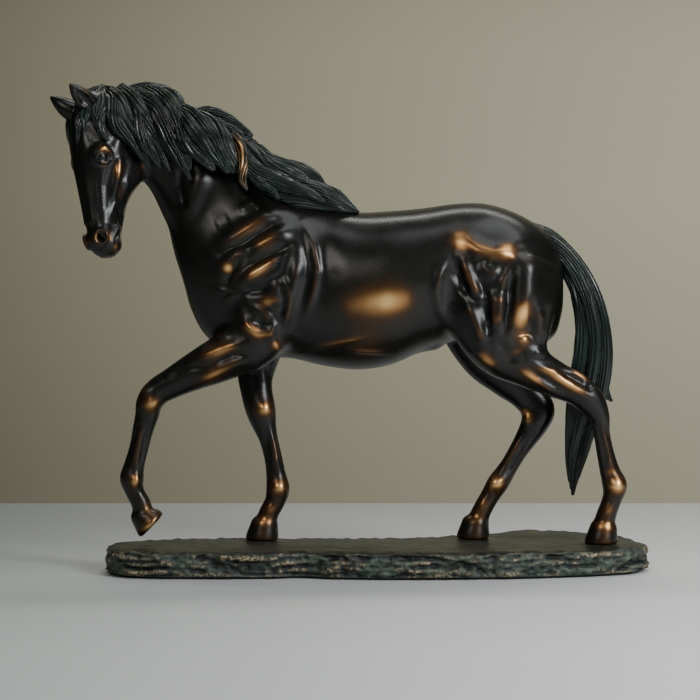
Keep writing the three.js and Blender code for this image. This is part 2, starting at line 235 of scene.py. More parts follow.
class Clay:
    # a block of signed distances that shapes are joined to
    def __init__(self, low, high, voxel, band=13.0):
        self.low, self.voxel, self.band = np.array(low, float), voxel, band
        self.size = np.ceil((np.array(high) - self.low) / voxel).astype(int)
        self.field = np.full(self.size, band, np.float32)

    def window(self, low, high):
        a = np.clip(np.floor((low - self.low) / self.voxel).astype(int), 0, self.size - 1)
        b = np.clip(np.ceil((high - self.low) / self.voxel).astype(int) + 1, a + 1, self.size)
        return a, b

    def merge(self, block, a, b, blend, cut=False):
        there = self.field[a[0]:b[0], a[1]:b[1], a[2]:b[2]]
        mine = -there if cut else there
        soft = np.maximum(blend - np.abs(mine - block), 0) / max(blend, 1e-6)
        joined = np.minimum(mine, block) - soft * soft * blend * 0.25
        if cut:
            joined = -joined
        self.field[a[0]:b[0], a[1]:b[1], a[2]:b[2]] = joined

    def addTube(self, rings, blend):
        points, quads, fans = closedTube(rings)
        grid = vdb.FloatGrid.createLevelSetFromPolygons(
            points=((points - self.low) / self.voxel).astype(np.float32),
            triangles=fans.astype(np.uint32),
            quads=quads.astype(np.uint32),
            transform=vdb.createLinearTransform(1.0),
            halfWidth=self.band / self.voxel,
        )
        a, b = self.window(points.min(0) - self.band, points.max(0) + self.band)
        block = np.empty(tuple(b - a), np.float32)
        grid.copyToArray(block, ijk=tuple(int(v) for v in a))
        self.merge(block * self.voxel, a, b, blend)

    def gridOf(self, a, b):
        axes = [self.low[i] + np.arange(a[i], b[i]) * self.voxel for i in range(3)]
        return np.stack(np.meshgrid(*axes, indexing="ij"), -1)

    def addChain(self, beads, blend, cut=False):
        # beads: x, y, z, radius, joined by tapered rods
        beads = np.array(beads, float)
        reach = beads[:, 3].max() + self.band
        a, b = self.window(beads[:, :3].min(0) - reach, beads[:, :3].max(0) + reach)
        at = self.gridOf(a, b)
        block = np.full(at.shape[:3], self.band, np.float32)
        pairs = zip(beads[:-1], beads[1:]) if len(beads) > 1 else [(beads[0], beads[0])]
        for p, q in pairs:
            run = q[:3] - p[:3]
            t = np.clip(((at - p[:3]) @ run) / max(run @ run, 1e-9), 0, 1)
            gap = np.linalg.norm(at - p[:3] - t[..., None] * run, axis=-1) - (p[3] + t * (q[3] - p[3]))
            block = np.minimum(block, gap)
        self.merge(np.clip(block, -self.band, self.band).astype(np.float32), a, b, blend, cut)

    def soften(self, sigma):
        reach = int(3 * sigma + 1)
        weights = np.exp(-0.5 * (np.arange(-reach, reach + 1) / sigma) ** 2)
        weights /= weights.sum()
        for axis in range(3):
            total = np.zeros_like(self.field)
            for shift, weight in zip(range(-reach, reach + 1), weights):
                total += weight * np.roll(self.field, shift, axis)
            self.field = total

    def surface(self):
        grid = vdb.FloatGrid(self.band)
        grid.copyFromArray(self.field)
        points, quads = grid.convertToQuads(0.0)
        points = points.astype(float) * self.voxel + self.low
        quads = quads.astype(int)
        if signedVolume(points, quads) < 0:
            quads = quads[:, ::-1]
        return points, quads


def signedVolume(points, quads):
    a, b, c, d = (points[quads[:, i]] for i in range(4))
    return np.einsum("ij,ij->i", a, np.cross(b, c)).sum() + np.einsum("ij,ij->i", a, np.cross(c, d)).sum()


def normalsOf(points, quads):
    a, b, c, d = (points[quads[:, i]] for i in range(4))
    face = np.cross(c - a, d - b)
    total = np.zeros_like(points)
    for i in range(4):
        for axis in range(3):
            total[:, axis] += np.bincount(quads[:, i], face[:, axis], len(points))
    return unit(total)


def linksOf(quads):
    sides = np.vstack([quads[:, [0, 1]], quads[:, [1, 2]], quads[:, [2, 3]], quads[:, [3, 0]]])
    return np.unique(np.sort(sides, 1), axis=0)


def relaxed(values, links, times, amount=0.5):
    # moves each value towards the mean of its neighbours
    values = values.copy()
    flat = values.ndim == 1
    table = values[:, None] if flat else values
    count = np.bincount(links.ravel(), minlength=len(table))[:, None]
    for _ in range(times):
        total = np.zeros_like(table)
        for axis in range(table.shape[1]):
            total[:, axis] = np.bincount(links[:, 0], table[links[:, 1], axis], len(table))
            total[:, axis] += np.bincount(links[:, 1], table[links[:, 0], axis], len(table))
        table += amount * (total / np.maximum(count, 1) - table)
    return table[:, 0] if flat else table


def strokeWeight(flat, line, width, taper, floor):
    # how strongly each point (x, z) feels a stroke along a line
    line = np.array(line, float)
    lengths = np.linalg.norm(np.diff(line, axis=0), axis=1)
    total = max(lengths.sum(), 1e-6)
    best = np.full(len(flat), 1e9)
    along = np.zeros(len(flat))
    walked = 0.0
    for a, b, length in zip(line[:-1], line[1:], lengths):
        run = b - a
        t = np.clip(((flat - a) @ run) / max(run @ run, 1e-9), 0, 1)
        gap = np.linalg.norm(flat - a - t[:, None] * run, axis=1)
        closer = gap < best
        best[closer] = gap[closer]
        along[closer] = (walked + t[closer] * length) / total
        walked += length
    ends = np.clip(np.minimum(along, 1 - along) / max(taper, 1e-3), 0, 1)
    ends = floor + (1 - floor) * ends * ends * (3 - 2 * ends)
    return np.exp(-((best / width) ** 2)) * ends


def pushed(points, normals, strokes, taper=0.3, floor=0.25):
    # strokes, on both sides of the body: height, width, then the line's (x, z) points
    push = np.zeros(len(points))
    face = np.abs(normals[:, 1])
    for height, width, *line in strokes:
        box = np.array(line, float)
        low, high = box.min(0) - 3 * width, box.max(0) + 3 * width
        flat = points[:, [0, 2]]
        near = ((flat > low) & (flat < high)).all(1)
        index = np.nonzero(near)[0]
        if not len(index):
            continue
        if len(line) == 1:
            weight = np.exp(-(((flat[index] - box[0]) ** 2).sum(1) / width**2))
        else:
            weight = strokeWeight(flat[index], line, width, taper, floor)
        push[index] += height * weight * np.clip((face[index] - 0.05) / 0.4, 0, 1)
    return push


# the horse, from the same stations as the castings
barrel = [  # x, back, belly, half width, lean
    (-134, 221, 184, 9, 8), (-131, 231, 171, 18, 14), (-121, 243, 158, 26, 16), (-106, 251, 151, 31, 14),
    (-86, 256, 148, 34, 9), (-62, 257, 148, 36.5, 4), (-38, 254, 143, 39, 0), (-12, 250, 140, 42, 0),
    (12, 251, 144, 42.5, 0), (34, 253, 154, 40, 0), (56, 256, 160, 37.5, 0), (76, 256, 160, 38, 0),
    (94, 251, 158, 37, 0), (108, 244, 157, 32, 0), (119, 236, 159, 25, 0), (127, 226, 168, 16, 0),
    (130.5, 212, 182, 8, 0),
]
neck = [
    (-62, 0, 203, 46, 32), (-80, 0, 219, 44, 31), (-98, 0, 237, 42, 26.5), (-116, -1, 259, 35, 20.5),
    (-134, -3, 283, 29.5, 16.5), (-153, -6, 300, 26, 14), (-172, -11, 309, 22, 12),
    (-187, -14, 311, 17, 10),
]
skull = [  # height, front, back, half width in the head's own frame
    (5, -4, 6, 6), (0, -9, 13, 11), (-12, -15, 23, 15), (-28, -18, 32, 17.5), (-43, -18.5, 36, 18),
    (-57, -17, 32, 15.5), (-69, -15.5, 20, 13), (-80, -14, 10, 11), (-91, -13.5, 7, 10.2),
    (-100, -13, 8, 10.6), (-107, -10, 7, 9.2), (-111, -5, 3, 5),
]
legs = {
    "left_foreleg": [
        (-62, -17, 226, 22, 12), (-75, -21, 192, 25, 14), (-84, -25, 163, 20, 14),
        (-100, -25, 152.5, 16.6, 12), (-113.5, -24, 146, 15.2, 11), (-128, -22, 139, 12.8, 10),
        (-142, -20, 131.5, 10.7, 8.8), (-152, -18.5, 125.5, 9.8, 8.5), (-157.5, -18, 118, 9.3, 8.6),
        (-159, -18, 110, 8.5, 7.5), (-161.5, -18, 101, 7.6, 6.4), (-165, -18, 86, 7, 6),
        (-168.5, -18, 73, 7.5, 6.6), (-169.8, -18, 65, 8.6, 8), (-168, -18, 56.5, 6.8, 6.6),
        (-163.5, -18, 47.5, 7, 7), (-162, -18, 41, 7, 7),
    ],
    "right_foreleg": [
        (-62, 17, 226, 22, 12), (-72, 22, 190, 24, 13), (-80, 23, 160, 17, 13),
        (-85, 20, 135, 12.8, 10.5), (-84, 16, 123, 11.3, 9), (-81.5, 14, 112, 10.9, 9.2),
        (-80, 14, 105.5, 10, 9), (-78, 13, 98, 8.2, 7.2), (-75.5, 12, 90, 6.9, 6.2),
        (-72, 10, 76, 6.6, 6), (-70.3, 9.5, 65, 7.2, 6.4), (-69, 9, 55, 8.5, 8), (-71.2, 8, 46, 7.3, 6.8),
        (-75.5, 8, 38, 7.2, 7.2), (-78, 8, 29, 7.5, 7.5),
    ],
    "left_hindleg": [
        (84, -18, 215, 38, 17), (80, -25, 180, 33, 17), (86, -26, 158, 22, 15), (104, -25, 145, 16, 12),
        (124, -23, 134.5, 12.8, 9.5), (139.5, -21, 127, 11.2, 8.6), (149.5, -19, 118, 10.2, 8.4),
        (155, -18, 108, 7.4, 7.2), (156.5, -18, 98, 6, 6.2), (159, -17, 85, 6.2, 6),
        (163, -16, 69, 7.4, 6.6), (166, -16, 60, 8.9, 8), (164.5, -15, 51, 7, 6.8),
        (160, -15, 38, 7.2, 7.2), (158, -15, 29, 7.5, 7.5),
    ],
    "right_hindleg": [
        (82, 18, 215, 36, 17), (76, 24, 176, 33, 16), (82, 24, 150, 23, 14), (94, 22, 134, 16.3, 11),
        (107, 20, 121, 12.4, 8.8), (115, 19, 110, 12, 8.6), (112.5, 18, 101, 10.2, 8),
        (107, 18, 91, 8.3, 6.8), (100.5, 17, 81, 7, 6.2), (94, 17, 70, 6.8, 6),
        (86.5, 16, 58.5, 7.8, 7.6), (81.5, 16, 50.5, 7, 6.8), (74.5, 15, 38, 7, 7.2),
        (71, 15, 29, 7.5, 7.5),
    ],
}
hooves = {  # place of the sole's middle, pitch, heel and toe heights
    "left_foreleg": (-155.8, -18, 32, -46, 5, 15), "right_foreleg": (-80.5, 8, 19.3, 0, 12, 15),
    "left_hindleg": (156.5, -15, 19.3, 0, 12, 15), "right_hindleg": (68.5, 15, 19.3, 0, 12, 15),
}
# where the castings part: a station of each leg, and a point and normal for neck and head
cutStation = {"left_foreleg": 5, "right_foreleg": 4, "left_hindleg": 4, "right_hindleg": 4}
headPose = {"at": (-197, -14, 328), "roll": -12, "yaw": 36}
neckCut = ((-88, 0, 232), (-0.5, 0, 0.866))
headCut = ((-160, -6, 300), (-1, -0.05, 0.0))


def headTurn():
    roll, yaw = math.radians(headPose["roll"]), math.radians(headPose["yaw"])
    aboutX = np.array([[1, 0, 0], [0, math.cos(roll), -math.sin(roll)], [0, math.sin(roll), math.cos(roll)]])
    aboutZ = np.array([[math.cos(yaw), -math.sin(yaw), 0], [math.sin(yaw), math.cos(yaw), 0], [0, 0, 1]])
    return aboutZ @ aboutX


turnHead = headTurn()


def toWorld(points):
    return np.asarray(points, float) @ turnHead.T + headPose["at"]


def toHead(points):
    return (points - headPose["at"]) @ turnHead


def barrelRings():
    rows = [(x, 0, (top + low) / 2, -lean / 2, (top - low) / 2, wide) for x, top, low, wide, lean in barrel]
    path = smoothRows(rows, 8)
    angle = np.linspace(0, 2 * math.pi, 96, endpoint=False)
    up = np.stack([path[:, 3], np.zeros(len(path)), path[:, 4]], -1)
    side = np.array([0, 1, 0])
    rings = path[:, None, :3] + np.cos(angle)[None, :, None] * up[:, None]
    return rings + np.sin(angle)[None, :, None] * path[:, 5, None, None] * side


def skullRings():
    # in the head's own frame, a little squarer than an ellipse
    square, around = 2.3, 72
    path = smoothRows([((a + b) / 2, 0, z, (b - a) / 2, wide) for z, a, b, wide in skull], 8)
    angle = np.linspace(0, 2 * math.pi, around, endpoint=False)
    c, s = np.cos(angle), np.sin(angle)
    c, s = np.sign(c) * np.abs(c) ** (2 / square), np.sign(s) * np.abs(s) ** (2 / square)
    rings = np.zeros((len(path), around, 3))
    rings[..., 0] = path[:, 0, None] + path[:, 3, None] * c
    rings[..., 1] = path[:, 4, None] * s
    rings[..., 2] = path[:, 2, None]
    return rings


def hoofRings(x, y, z, pitch, heel, toe):
    # the arguments are a row of hooves
    shape = [  # shift to the rear, height at heel and toe, half length, half width
        (0, 0, 0, 12.2, 11.4),
        (0.6, heel * 0.3, toe * 0.3, 11.4, 10.8),
        (1.8, heel * 0.75, toe * 0.75, 9.9, 9.4),
        (2.4, heel, toe, 9.3, 8.9),
        (3.2, heel + 2, toe + 2, 6.8, 6.6),
    ]
    angle = np.linspace(0, 2 * math.pi, 64, endpoint=False)
    rings = []
    for shift, back, front, long, wide in shape:
        c, s = np.cos(angle), np.sin(angle)
        rings.append(np.stack([shift - long * c, wide * s, back + (front - back) * (1 + c) / 2], -1))
    tilt = math.radians(pitch)
    turn = np.array([[math.cos(tilt), 0, math.sin(tilt)], [0, 1, 0], [-math.sin(tilt), 0, math.cos(tilt)]])
    return np.array(rings) @ turn.T + np.array([x, y, z])


clay = Clay((-236, -64, 14), (188, 64, 346), 1.12)
clay.addTube(barrelRings(), 0.1)
clay.addTube(ringsOf(neck), 14)
clay.addTube(toWorld(skullRings()), 5)
clay.addChain([(110, -22, 188, 13), (109, -24, 168, 11), (104, -25, 152, 9)], 7)  # back of the near thigh
clay.addChain([(104, 21, 184, 13), (98, 22, 162, 11), (93, 22, 146, 9)], 7)
clay.addChain([(28, 0, 160, 6), (40, 0, 160.5, 6.5)], 6)  # sheath
for name, rows in legs.items():
    clay.addTube(ringsOf(rows), 9)
    clay.addTube(hoofRings(*hooves[name]), 1.2)
clay.soften(0.9)
bodyPoints, bodyQuads = clay.surface()
print("body blocked out:", len(bodyPoints), "points")

# muscles: height, width, line of (x, z)
masses = [
    (2.4, 8, (-70, 206), (-68, 195), (-71, 184)),
    (5.0, 10.5, (104, 226), (104, 210), (102, 194), (98, 172)),
    (3.4, 7.0, (84, 198), (82, 184), (83, 170)), (-2.2, 7, (54, 222), (54, 200), (51, 178)),
    (1.6, 12, (20, 170), (-30, 162)), (3.2, 7, (-119, 284), (-125, 263), (-132, 242)),
    (-1.3, 7, (-37, 236), (-33, 208), (-41, 180)), (-1.2, 7, (-112, 240), (-100, 246)),
    (1.4, 7, (-105, 200), (-108, 188)),
]
ridges = [
    (2.8, 6.0, (-112, 222), (-104, 229), (-92, 237), (-78, 246), (-62, 251)),
    (-2.4, 3.2, (-106, 222), (-92, 229), (-80, 236), (-68, 243)),
    (3.0, 5.6, (-106, 207), (-102, 214), (-96, 221), (-91, 227)),
    (-1.8, 2.4, (-95, 215), (-100, 207), (-104, 199)),
    (1.0, 1.7, (-90, 225), (-91, 217), (-95, 209), (-101, 202), (-103, 196)),
    (2.8, 6.2, (-88, 221), (-78, 229), (-67, 235), (-56, 240)),
    (-2.4, 3.0, (-88, 212), (-77, 219), (-66, 224), (-60, 227)),
    (3.4, 4.8, (-95, 201), (-84, 208), (-74, 215), (-64, 222)),
    (0.9, 1.7, (-86, 200), (-75, 205), (-67, 211), (-61, 222)),
    (-2.2, 3.2, (-92, 196), (-80, 197), (-73, 200)),
    (1.1, 1.7, (-65, 210), (-62, 199), (-60, 190), (-62, 178), (-64, 167)),
    (-1.4, 1.8, (-67, 204), (-64, 190), (-65, 177)),
    (2.4, 4.4, (-55, 224), (-56, 206), (-59, 188), (-64, 168)),
    (1.6, 2.2, (-51, 244), (-43, 227), (-40, 211), (-44, 192), (-52, 172)),
    (-1.4, 2.6, (-51, 232), (-47, 216), (-48, 202), (-52, 186)),
    (1.6, 3.4, (49, 218), (43, 207), (41, 196), (43, 184), (50, 171)),
    (2.6, 3.4, (-92, 181), (-89, 173), (-82, 167), (-74, 167), (-71, 172), (-75, 178)),
    (-2.0, 3.0, (-80, 174)), (1.2, 2.6, (-86, 186), (-78, 182), (-71, 177)),
    (1.8, 3.0, (-72, 164), (-67, 153)), (1.0, 2.4, (-108, 185), (-99, 193), (-90, 197)),
    (-1.6, 2.2, (-135, 284), (-136, 268), (-131, 250)), (1.6, 4.0, (-96, 251), (-81, 257)),
    (2.6, 5.4, (54, 232), (62, 230), (70, 225), (80, 222), (90, 223), (97, 230)),
    (-1.2, 5.0, (66, 216), (84, 214)), (2.8, 3.6, (58, 221), (62, 210), (66, 201), (71, 191)),
    (2.4, 5.2, (71, 218), (77, 211), (84, 206)), (1.2, 2.3, (93, 214), (88, 205), (85, 198)),
    (-2.6, 3.0, (54, 214), (58, 202), (64, 192)), (-1.6, 2.6, (70, 206), (73, 198), (75, 190)),
    (3.0, 4.0, (60, 191), (66, 180), (71, 168), (73, 157)), (-2.8, 2.8, (74, 194), (75, 180), (77, 164)),
    (-3.4, 3.0, (93, 210), (91, 196), (91, 183), (88, 168)), (2.4, 4.0, (101, 166), (101, 160)),
    (1.8, 3.2, (112, 184), (112, 164)), (-1.8, 2.4, (107, 190), (106, 170)),
    (2.0, 4.6, (66, 157), (74, 150), (84, 143)), (-1.6, 3.4, (84, 162), (90, 152), (98, 147)),
    (1.2, 2.6, (108, 155), (118, 151)),
    (1.6, 2.8, (104, 147), (114, 143), (122, 140), (134, 131), (147, 122)),
    (1.2, 2.4, (96, 145), (104, 139), (116, 131), (127, 124)),
    (-1.6, 2.2, (106, 142), (118, 134), (130, 127)), (1.5, 2.4, (133, 142), (143, 138), (153, 134)),
    (-1.8, 2.4, (126, 140), (136, 136), (146, 130)), (-1.8, 2.6, (148, 130)),
    (0.9, 1.5, (-46, 155), (-29, 160), (-5, 165)), (0.8, 1.4, (-20, 155), (9, 153)),
    (1.6, 3.0, (-111, 163), (-100, 167)), (1.8, 3.6, (-126, 148), (-110, 155), (-92, 161)),
    (-1.6, 2.2, (-112, 147), (-100, 152), (-89, 153)),
    (1.8, 3.4, (-124, 133), (-112, 139), (-98, 146), (-86, 150)),
    (-1.2, 2.6, (-146, 136), (-130, 143), (-114, 145)), (1.2, 4.0, (-160, 127)), (1.6, 4.4, (-155, 118)),
    (-1.1, 1.7, (-166, 102), (-170, 88), (-173, 74)), (0.8, 1.9, (-162, 104), (-165, 88), (-168, 72)),
    (-1.1, 1.5, (-158, 104), (-161, 88), (-164, 72)), (1.5, 4.2, (-169, 64), (-164, 64)),
    (1.0, 3.0, (-83, 146), (-78, 129)), (-1.0, 2.2, (-88, 140), (-84, 124)), (1.6, 4.2, (-78, 112)),
    (0.8, 1.9, (-74, 98), (-71, 84), (-69, 68)), (-1.1, 1.6, (-70, 98), (-67, 84), (-64, 68)),
    (-0.9, 1.6, (-78, 96), (-76, 82), (-74, 68)), (1.4, 4.0, (-68, 57)), (0.8, 2.6, (-73, 46), (-76, 38)),
    (1.6, 2.4, (103, 114), (107, 106), (106, 99)), (-1.2, 2.2, (101, 106), (102, 99)),
    (0.9, 1.7, (104, 94), (96, 80), (88, 67)), (-1.1, 1.6, (107, 91), (99, 77), (92, 65)),
    (-1.0, 1.6, (99, 94), (91, 80), (84, 68)), (1.5, 4.4, (84, 59)), (0.8, 2.6, (78, 50), (73, 41)),
    (-1.1, 1.6, (153, 103), (158, 88), (161, 74)), (0.9, 1.7, (157, 100), (160, 85), (164, 70)),
    (-1.1, 1.5, (159, 102), (164, 86), (168, 72)), (1.5, 4.2, (167, 61)),
    (0.8, 2.6, (162, 50), (160, 40)),
]
links = linksOf(bodyQuads)
bodyPoints = relaxed(bodyPoints, links, 3)
normals = normalsOf(bodyPoints, bodyQuads)
bodyPoints = bodyPoints + normals * pushed(bodyPoints, normals, masses)[:, None]
normals = normalsOf(bodyPoints, bodyQuads)
bodyPoints = bodyPoints + normals * pushed(bodyPoints, normals, ridges)[:, None]
bodyPoints = relaxed(bodyPoints, links, 2)
normals = normalsOf(bodyPoints, bodyQuads)
print("muscles pressed in")


# the head in its own frame, with the face towards -x and the poll at the origin
def onBothSides(beads, blend, cut=False):
    for side in (-1, 1):
        headClay.addChain([(x, side * y, z, r) for x, y, z, r in beads], blend, cut)


headClay = Clay((-34, -32, -118), (52, 32, 18), 0.56, band=9.0)
headClay.addTube(toHead(ringsOf(neck)), 0.1)
headClay.addTube(skullRings(), 5)
cheek = [(14, 6, -40, 18, 19), (14.5, 10, -40, 17.5, 18.5), (15, 14, -40.5, 15, 16), (15.5, 16, -41, 10, 11)]
for side in (-1, 1):
    rows = [(x, side * y, z, deep, wide) for x, y, z, deep, wide in cheek]
    headClay.addTube(ringsOf(rows, lateral=(0, 0, 1)), 3)
onBothSides([(-6.5, 13.6, -41.5, 6.6)], 4)  # brow
onBothSides([(-2, 12.0, -28, 5), (-8, 9.5, -20, 3.6)], 6)  # temple
crest = [(6, 16.4, -47, 2.6), (4.5, 15.8, -55, 2.8), (3, 14.0, -62, 2.2), (1, 11.5, -71, 1.6)]
onBothSides(crest, 2.0)  # facial crest
headClay.addChain([(18, 0, -56, 7), (11, 0, -76, 6), (4, 0, -98, 5.5)], 4)  # lower jaw
onBothSides([(16, 6, -60, 3.4), (8, 5, -80, 3.0)], 3)
headClay.addChain([(3.5, -3, -103, 4.6), (3.5, 3, -103, 4.6)], 2)  # chin
onBothSides([(-9.5, 6.2, -99, 4.8), (-6, 7.2, -94, 3.6)], 3)  # nostril flare
onBothSides([(3, 8.2, -93, 3.2), (-2, 7, -102, 4)], 3)  # lips
onBothSides([(-14, 4.2, -48, 2.2), (-12.6, 4.0, -86, 1.8)], 3)  # nasal bones
onBothSides([(-2, 18.5, -53, 2.6), (-5, 15.6, -64, 3.0), (-6, 13.4, -78, 2.4)], 2.6, cut=True)  # tear trough
onBothSides([(12, 20.0, -50, 2.6), (9, 18.0, -60, 2.6), (6, 15.5, -72, 1.8)], 2.6, cut=True)
onBothSides([(-9, 19.5, -43, 4.0), (-4, 20, -44.5, 3.8)], 1.4, cut=True)  # eye socket
onBothSides([(-6.4, 13.5, -43.6, 5.3)], 0.2)  # eyeball
upperLid = [
    (-11.8, 15.2, -45, 0.9), (-9.7, 17.6, -40.4, 1.4), (-5.6, 18.8, -38.6, 1.6), (-1.2, 18.2, -41.2, 1.3),
    (0.8, 17.0, -44.6, 0.9),
]
lowerLid = [
    (-11.4, 15.2, -46, 0.8), (-8.4, 17.0, -48.4, 0.9), (-4, 17.6, -48.6, 0.9), (0.4, 17.0, -45.4, 0.8),
]
onBothSides(upperLid, 0.8)
onBothSides(lowerLid, 0.8)
nostril, out = np.array([-10.6, 9.4, -98.6]), unit(np.array([-0.55, 0.78, -0.2]))
along = unit(np.cross(out, np.array([0.25, 0, 1])))
across = np.cross(out, along)
turns = np.linspace(0, 2 * math.pi, 15)
rim = [nostril + 4.3 * math.cos(t) * along + 4.9 * math.sin(t) * across for t in turns]
mouth = [(7.5, 10.2, -90.5, 0.9), (3.4, 11.4, -96, 0.9), (-0.8, 10.2, -102, 0.9), (-3.6, 8.0, -105.6, 0.8)]
outerPit, innerPit = nostril + 2.0 * out + 1.2 * across, nostril - 1.6 * out - 0.8 * across
foldBehind, foldBelow = nostril - 0.6 * out + 2.2 * along, nostril - 0.4 * out - 2.0 * across
onBothSides([(*p, 1.35) for p in rim], 0.8)
onBothSides([(*outerPit, 3.0), (*innerPit, 2.4)], 0.8, cut=True)
onBothSides([(*foldBehind, 1.3), (*foldBelow, 1.2)], 0.8)
onBothSides(mouth, 0.8, cut=True)
ears = {  # for the near (-1) and far (1) side: the ear's stations and the beads that hollow its cup
    -1: (
        [(-1, 6.5, -9, 5.0, 5.4), (-7, 8.0, -4.8, 6.6, 6.6), (-13, 10, -0.9, 6.4, 6.8),
         (-19, 12, 3.2, 4.4, 4.6), (-24.5, 13.6, 7.4, 0.8, 0.7)],
        [(-9, 14, -8.4, 3.0), (-14, 15.6, -5.4, 4.8), (-18.5, 16.6, -1.4, 4.0), (-22, 16.6, 3.0, 1.8)],
    ),
    1: (
        [(-1, 6.5, -10, 5.5, 5.8), (-8, 8.5, -7.4, 8.0, 7.4), (-14, 10.6, -4.4, 7.4, 7.2),
         (-19.5, 12.3, 0.4, 5.0, 5.0), (-24.5, 13.6, 5, 0.8, 0.7)],
        [(-13, 11, -14.5, 3.0), (-18, 12.5, -11, 4.8), (-22, 14, -5.5, 3.8), (-24, 14.5, -0.5, 1.8)],
    ),
}
for side, (ear, cup) in ears.items():
    headClay.addTube(ringsOf([(x, side * y, z, a, b) for x, y, z, a, b in ear]), 1.2)
    headClay.addChain([(x, side * y, z, r) for x, y, z, r in cup], 0.8, cut=True)
headClay.soften(0.8)
headPoints, headQuads = headClay.surface()
headLinks = linksOf(headQuads)
headNormals = normalsOf(headPoints, headQuads)
headStrokes = [
    (0.6, 2.0, (-15, -8), (-16, -40)), (-0.5, 1.6, (-10, -52), (-9, -70), (-9, -86)),
    (0.8, 3.0, (12, -62)), (-0.8, 2.0, (22, -18), (30, -28)), (0.5, 1.2, (-2, -84), (2, -76), (4, -72)),
]
headPoints = headPoints + headNormals * pushed(headPoints, headNormals, headStrokes)[:, None]
headPoints = relaxed(headPoints, headLinks, 1)
print("head modelled:", len(headPoints), "points")


# high places are rubbed to bare metal, low ones hold dark patina; the lines add rubbed metal with painted
# highlight glows
def wearAndGlowOf(points, quads, links, lines=()):
    normals = normalsOf(points, quads)
    smooth = relaxed(points, links, 12)
    curve = relaxed(((points - smooth) * normals).sum(1), links, 3)
    rub = 0.26 * np.clip((curve - 0.08) / 0.40, 0, 1) ** 1.4
    hollow = np.clip((-curve - 0.08) / 0.36, 0, 1)
    # each line's glow gets a wider, weaker painted halo
    wide = [(much * 0.22, width * 2.2, *line) for much, width, *line in lines]
    worn = pushed(points, normals, lines, 0.5, 0.08) + pushed(points, normals, wide, 0.5, 0.2)
    return np.clip(rub + 0.85 * worn, 0, 1), hollow


# rubbed metal on the high places, partly painted highlight glows where the light catches: the glow low on
# the barrel's side, the hip crescent, joints and hooves
rubAndGlowLines = [  # how much, width, line of (x, z)
    (0.30, 7.5, (-15, 187)), (0.48, 7.5, (-4, 188.5)), (0.72, 7, (6, 190)), (0.42, 7.5, (16, 191)),
    (0.75, 5.0, (58, 231)), (0.40, 3.6, (56, 231), (66, 227), (80, 222), (94, 225)),
    (0.75, 4.6, (90, 223)), (0.9, 4.6, (104, 192), (100, 180), (96, 168)), (0.6, 3.8, (101, 164)),
    (0.25, 6, (95, 158), (98, 152)), (0.5, 3.4, (69, 156), (76, 149), (84, 144)),
    (0.5, 3.0, (96, 144), (104, 139), (116, 131)),
    (0.6, 3.0, (108, 142), (120, 140), (136, 130), (147, 122)), (0.3, 2.4, (134, 142), (153, 134)),
    (0.8, 3.6, (-105, 208), (-100, 216)), (0.30, 4.0, (-103, 230), (-72, 249)),
    (0.32, 4.5, (-86, 225), (-66, 236)), (0.85, 3.2, (-91, 205), (-70, 218)),
    (0.6, 4.2, (-77, 194), (-73, 184)), (0.6, 3.2, (-91, 178), (-88, 171), (-80, 166), (-73, 168)),
    (0.5, 3.0, (-71, 163), (-67, 155)), (0.5, 4.0, (-124, 150), (-92, 161)),
    (0.5, 3.6, (-125, 132), (-98, 146)), (0.65, 4.4, (-156, 118)), (0.7, 4.0, (-171, 64), (-164, 64)),
    (0.65, 4.4, (-78, 112)), (0.65, 4.4, (-68, 57)), (0.65, 2.6, (103, 114), (108, 106), (107, 99)),
    (0.8, 4.6, (84, 59)), (0.8, 4.6, (167, 61)), (0.35, 3.4, (162, 74), (164, 66)), (0.3, 4, (-158, 45)),
    (0.5, 2.2, (-164, 28), (-148, 38)), (0.45, 3, (-86, 34), (-70, 34)), (0.45, 3, (63, 36), (78, 36)),
    (0.5, 3, (150, 33), (168, 33)), (0.25, 5, (75, 44)), (0.25, 5, (161, 44)), (0.25, 5, (-74, 42)),
    (0.30, 2.2, (-46, 156), (-29, 160), (-5, 165)), (0.22, 2.0, (-20, 155), (9, 153)),
    (0.14, 12, (20, 163), (-30, 158)), (0.16, 7, (-86, 27), (-72, 26)), (0.16, 7, (64, 27), (78, 26)),
    (0.16, 7, (151, 26), (166, 25)), (0.2, 6, (-163, 38), (-153, 30)),
]
# rubbed metal and painted highlight glows on the head: the upper lid, facial crest, muzzle and nostril rims
headRubAndGlowLines = [
    (0.85, 1.9, (-10.5, -41.5), (-5.6, -38.4), (-1, -41.5)), (0.3, 1.5, (-9, -49), (-3, -49.5)),
    (0.75, 2.4, (5.5, -46), (4.6, -55), (3.2, -62)), (0.2, 2.2, (-14.5, -96), (-12.5, -104)),
    (0.5, 2.4, (-3, -107), (3, -106)), (0.25, 2.2, (5, -97), (6, -103)), (0.18, 3.4, (9, -62), (5, -74)),
    (0.25, 3.2, (26, -50)), (0.5, 1.5, (-9, -93.6), (-5.6, -96), (-5.4, -100), (-8, -104)),
    (0.35, 1.4, (-11, -94), (-14.5, -98), (-13, -103)), (0.4, 1.6, (-8, 0), (-20, 9)),
]


def pieceMesh(name, points, faces, material, values=None):
    mesh = bpy.data.meshes.new(name)
    mesh.from_pydata((points * mm).tolist(), [], [list(map(int, f)) for f in faces])
    mesh.materials.append(material)
    mesh.polygons.foreach_set("use_smooth", [True] * len(mesh.polygons))
    for key, numbers in (values or {}).items():
        layer = mesh.attributes.new(key, "FLOAT", "POINT")
        layer.data.foreach_set("value", numbers.astype(np.float32))
    mesh.update()
    return mesh


def finished(name, mesh, slot, *nodes):
    piece = bpy.data.objects.new(name, mesh)
    bpy.context.collection.objects.link(piece)
    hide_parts(*nodes)
    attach(piece, "root")


def pointsOf(mesh):
    flat = np.empty(len(mesh.vertices) * 3)
    mesh.vertices.foreach_get("co", flat)
    return flat.reshape(-1, 3) / mm


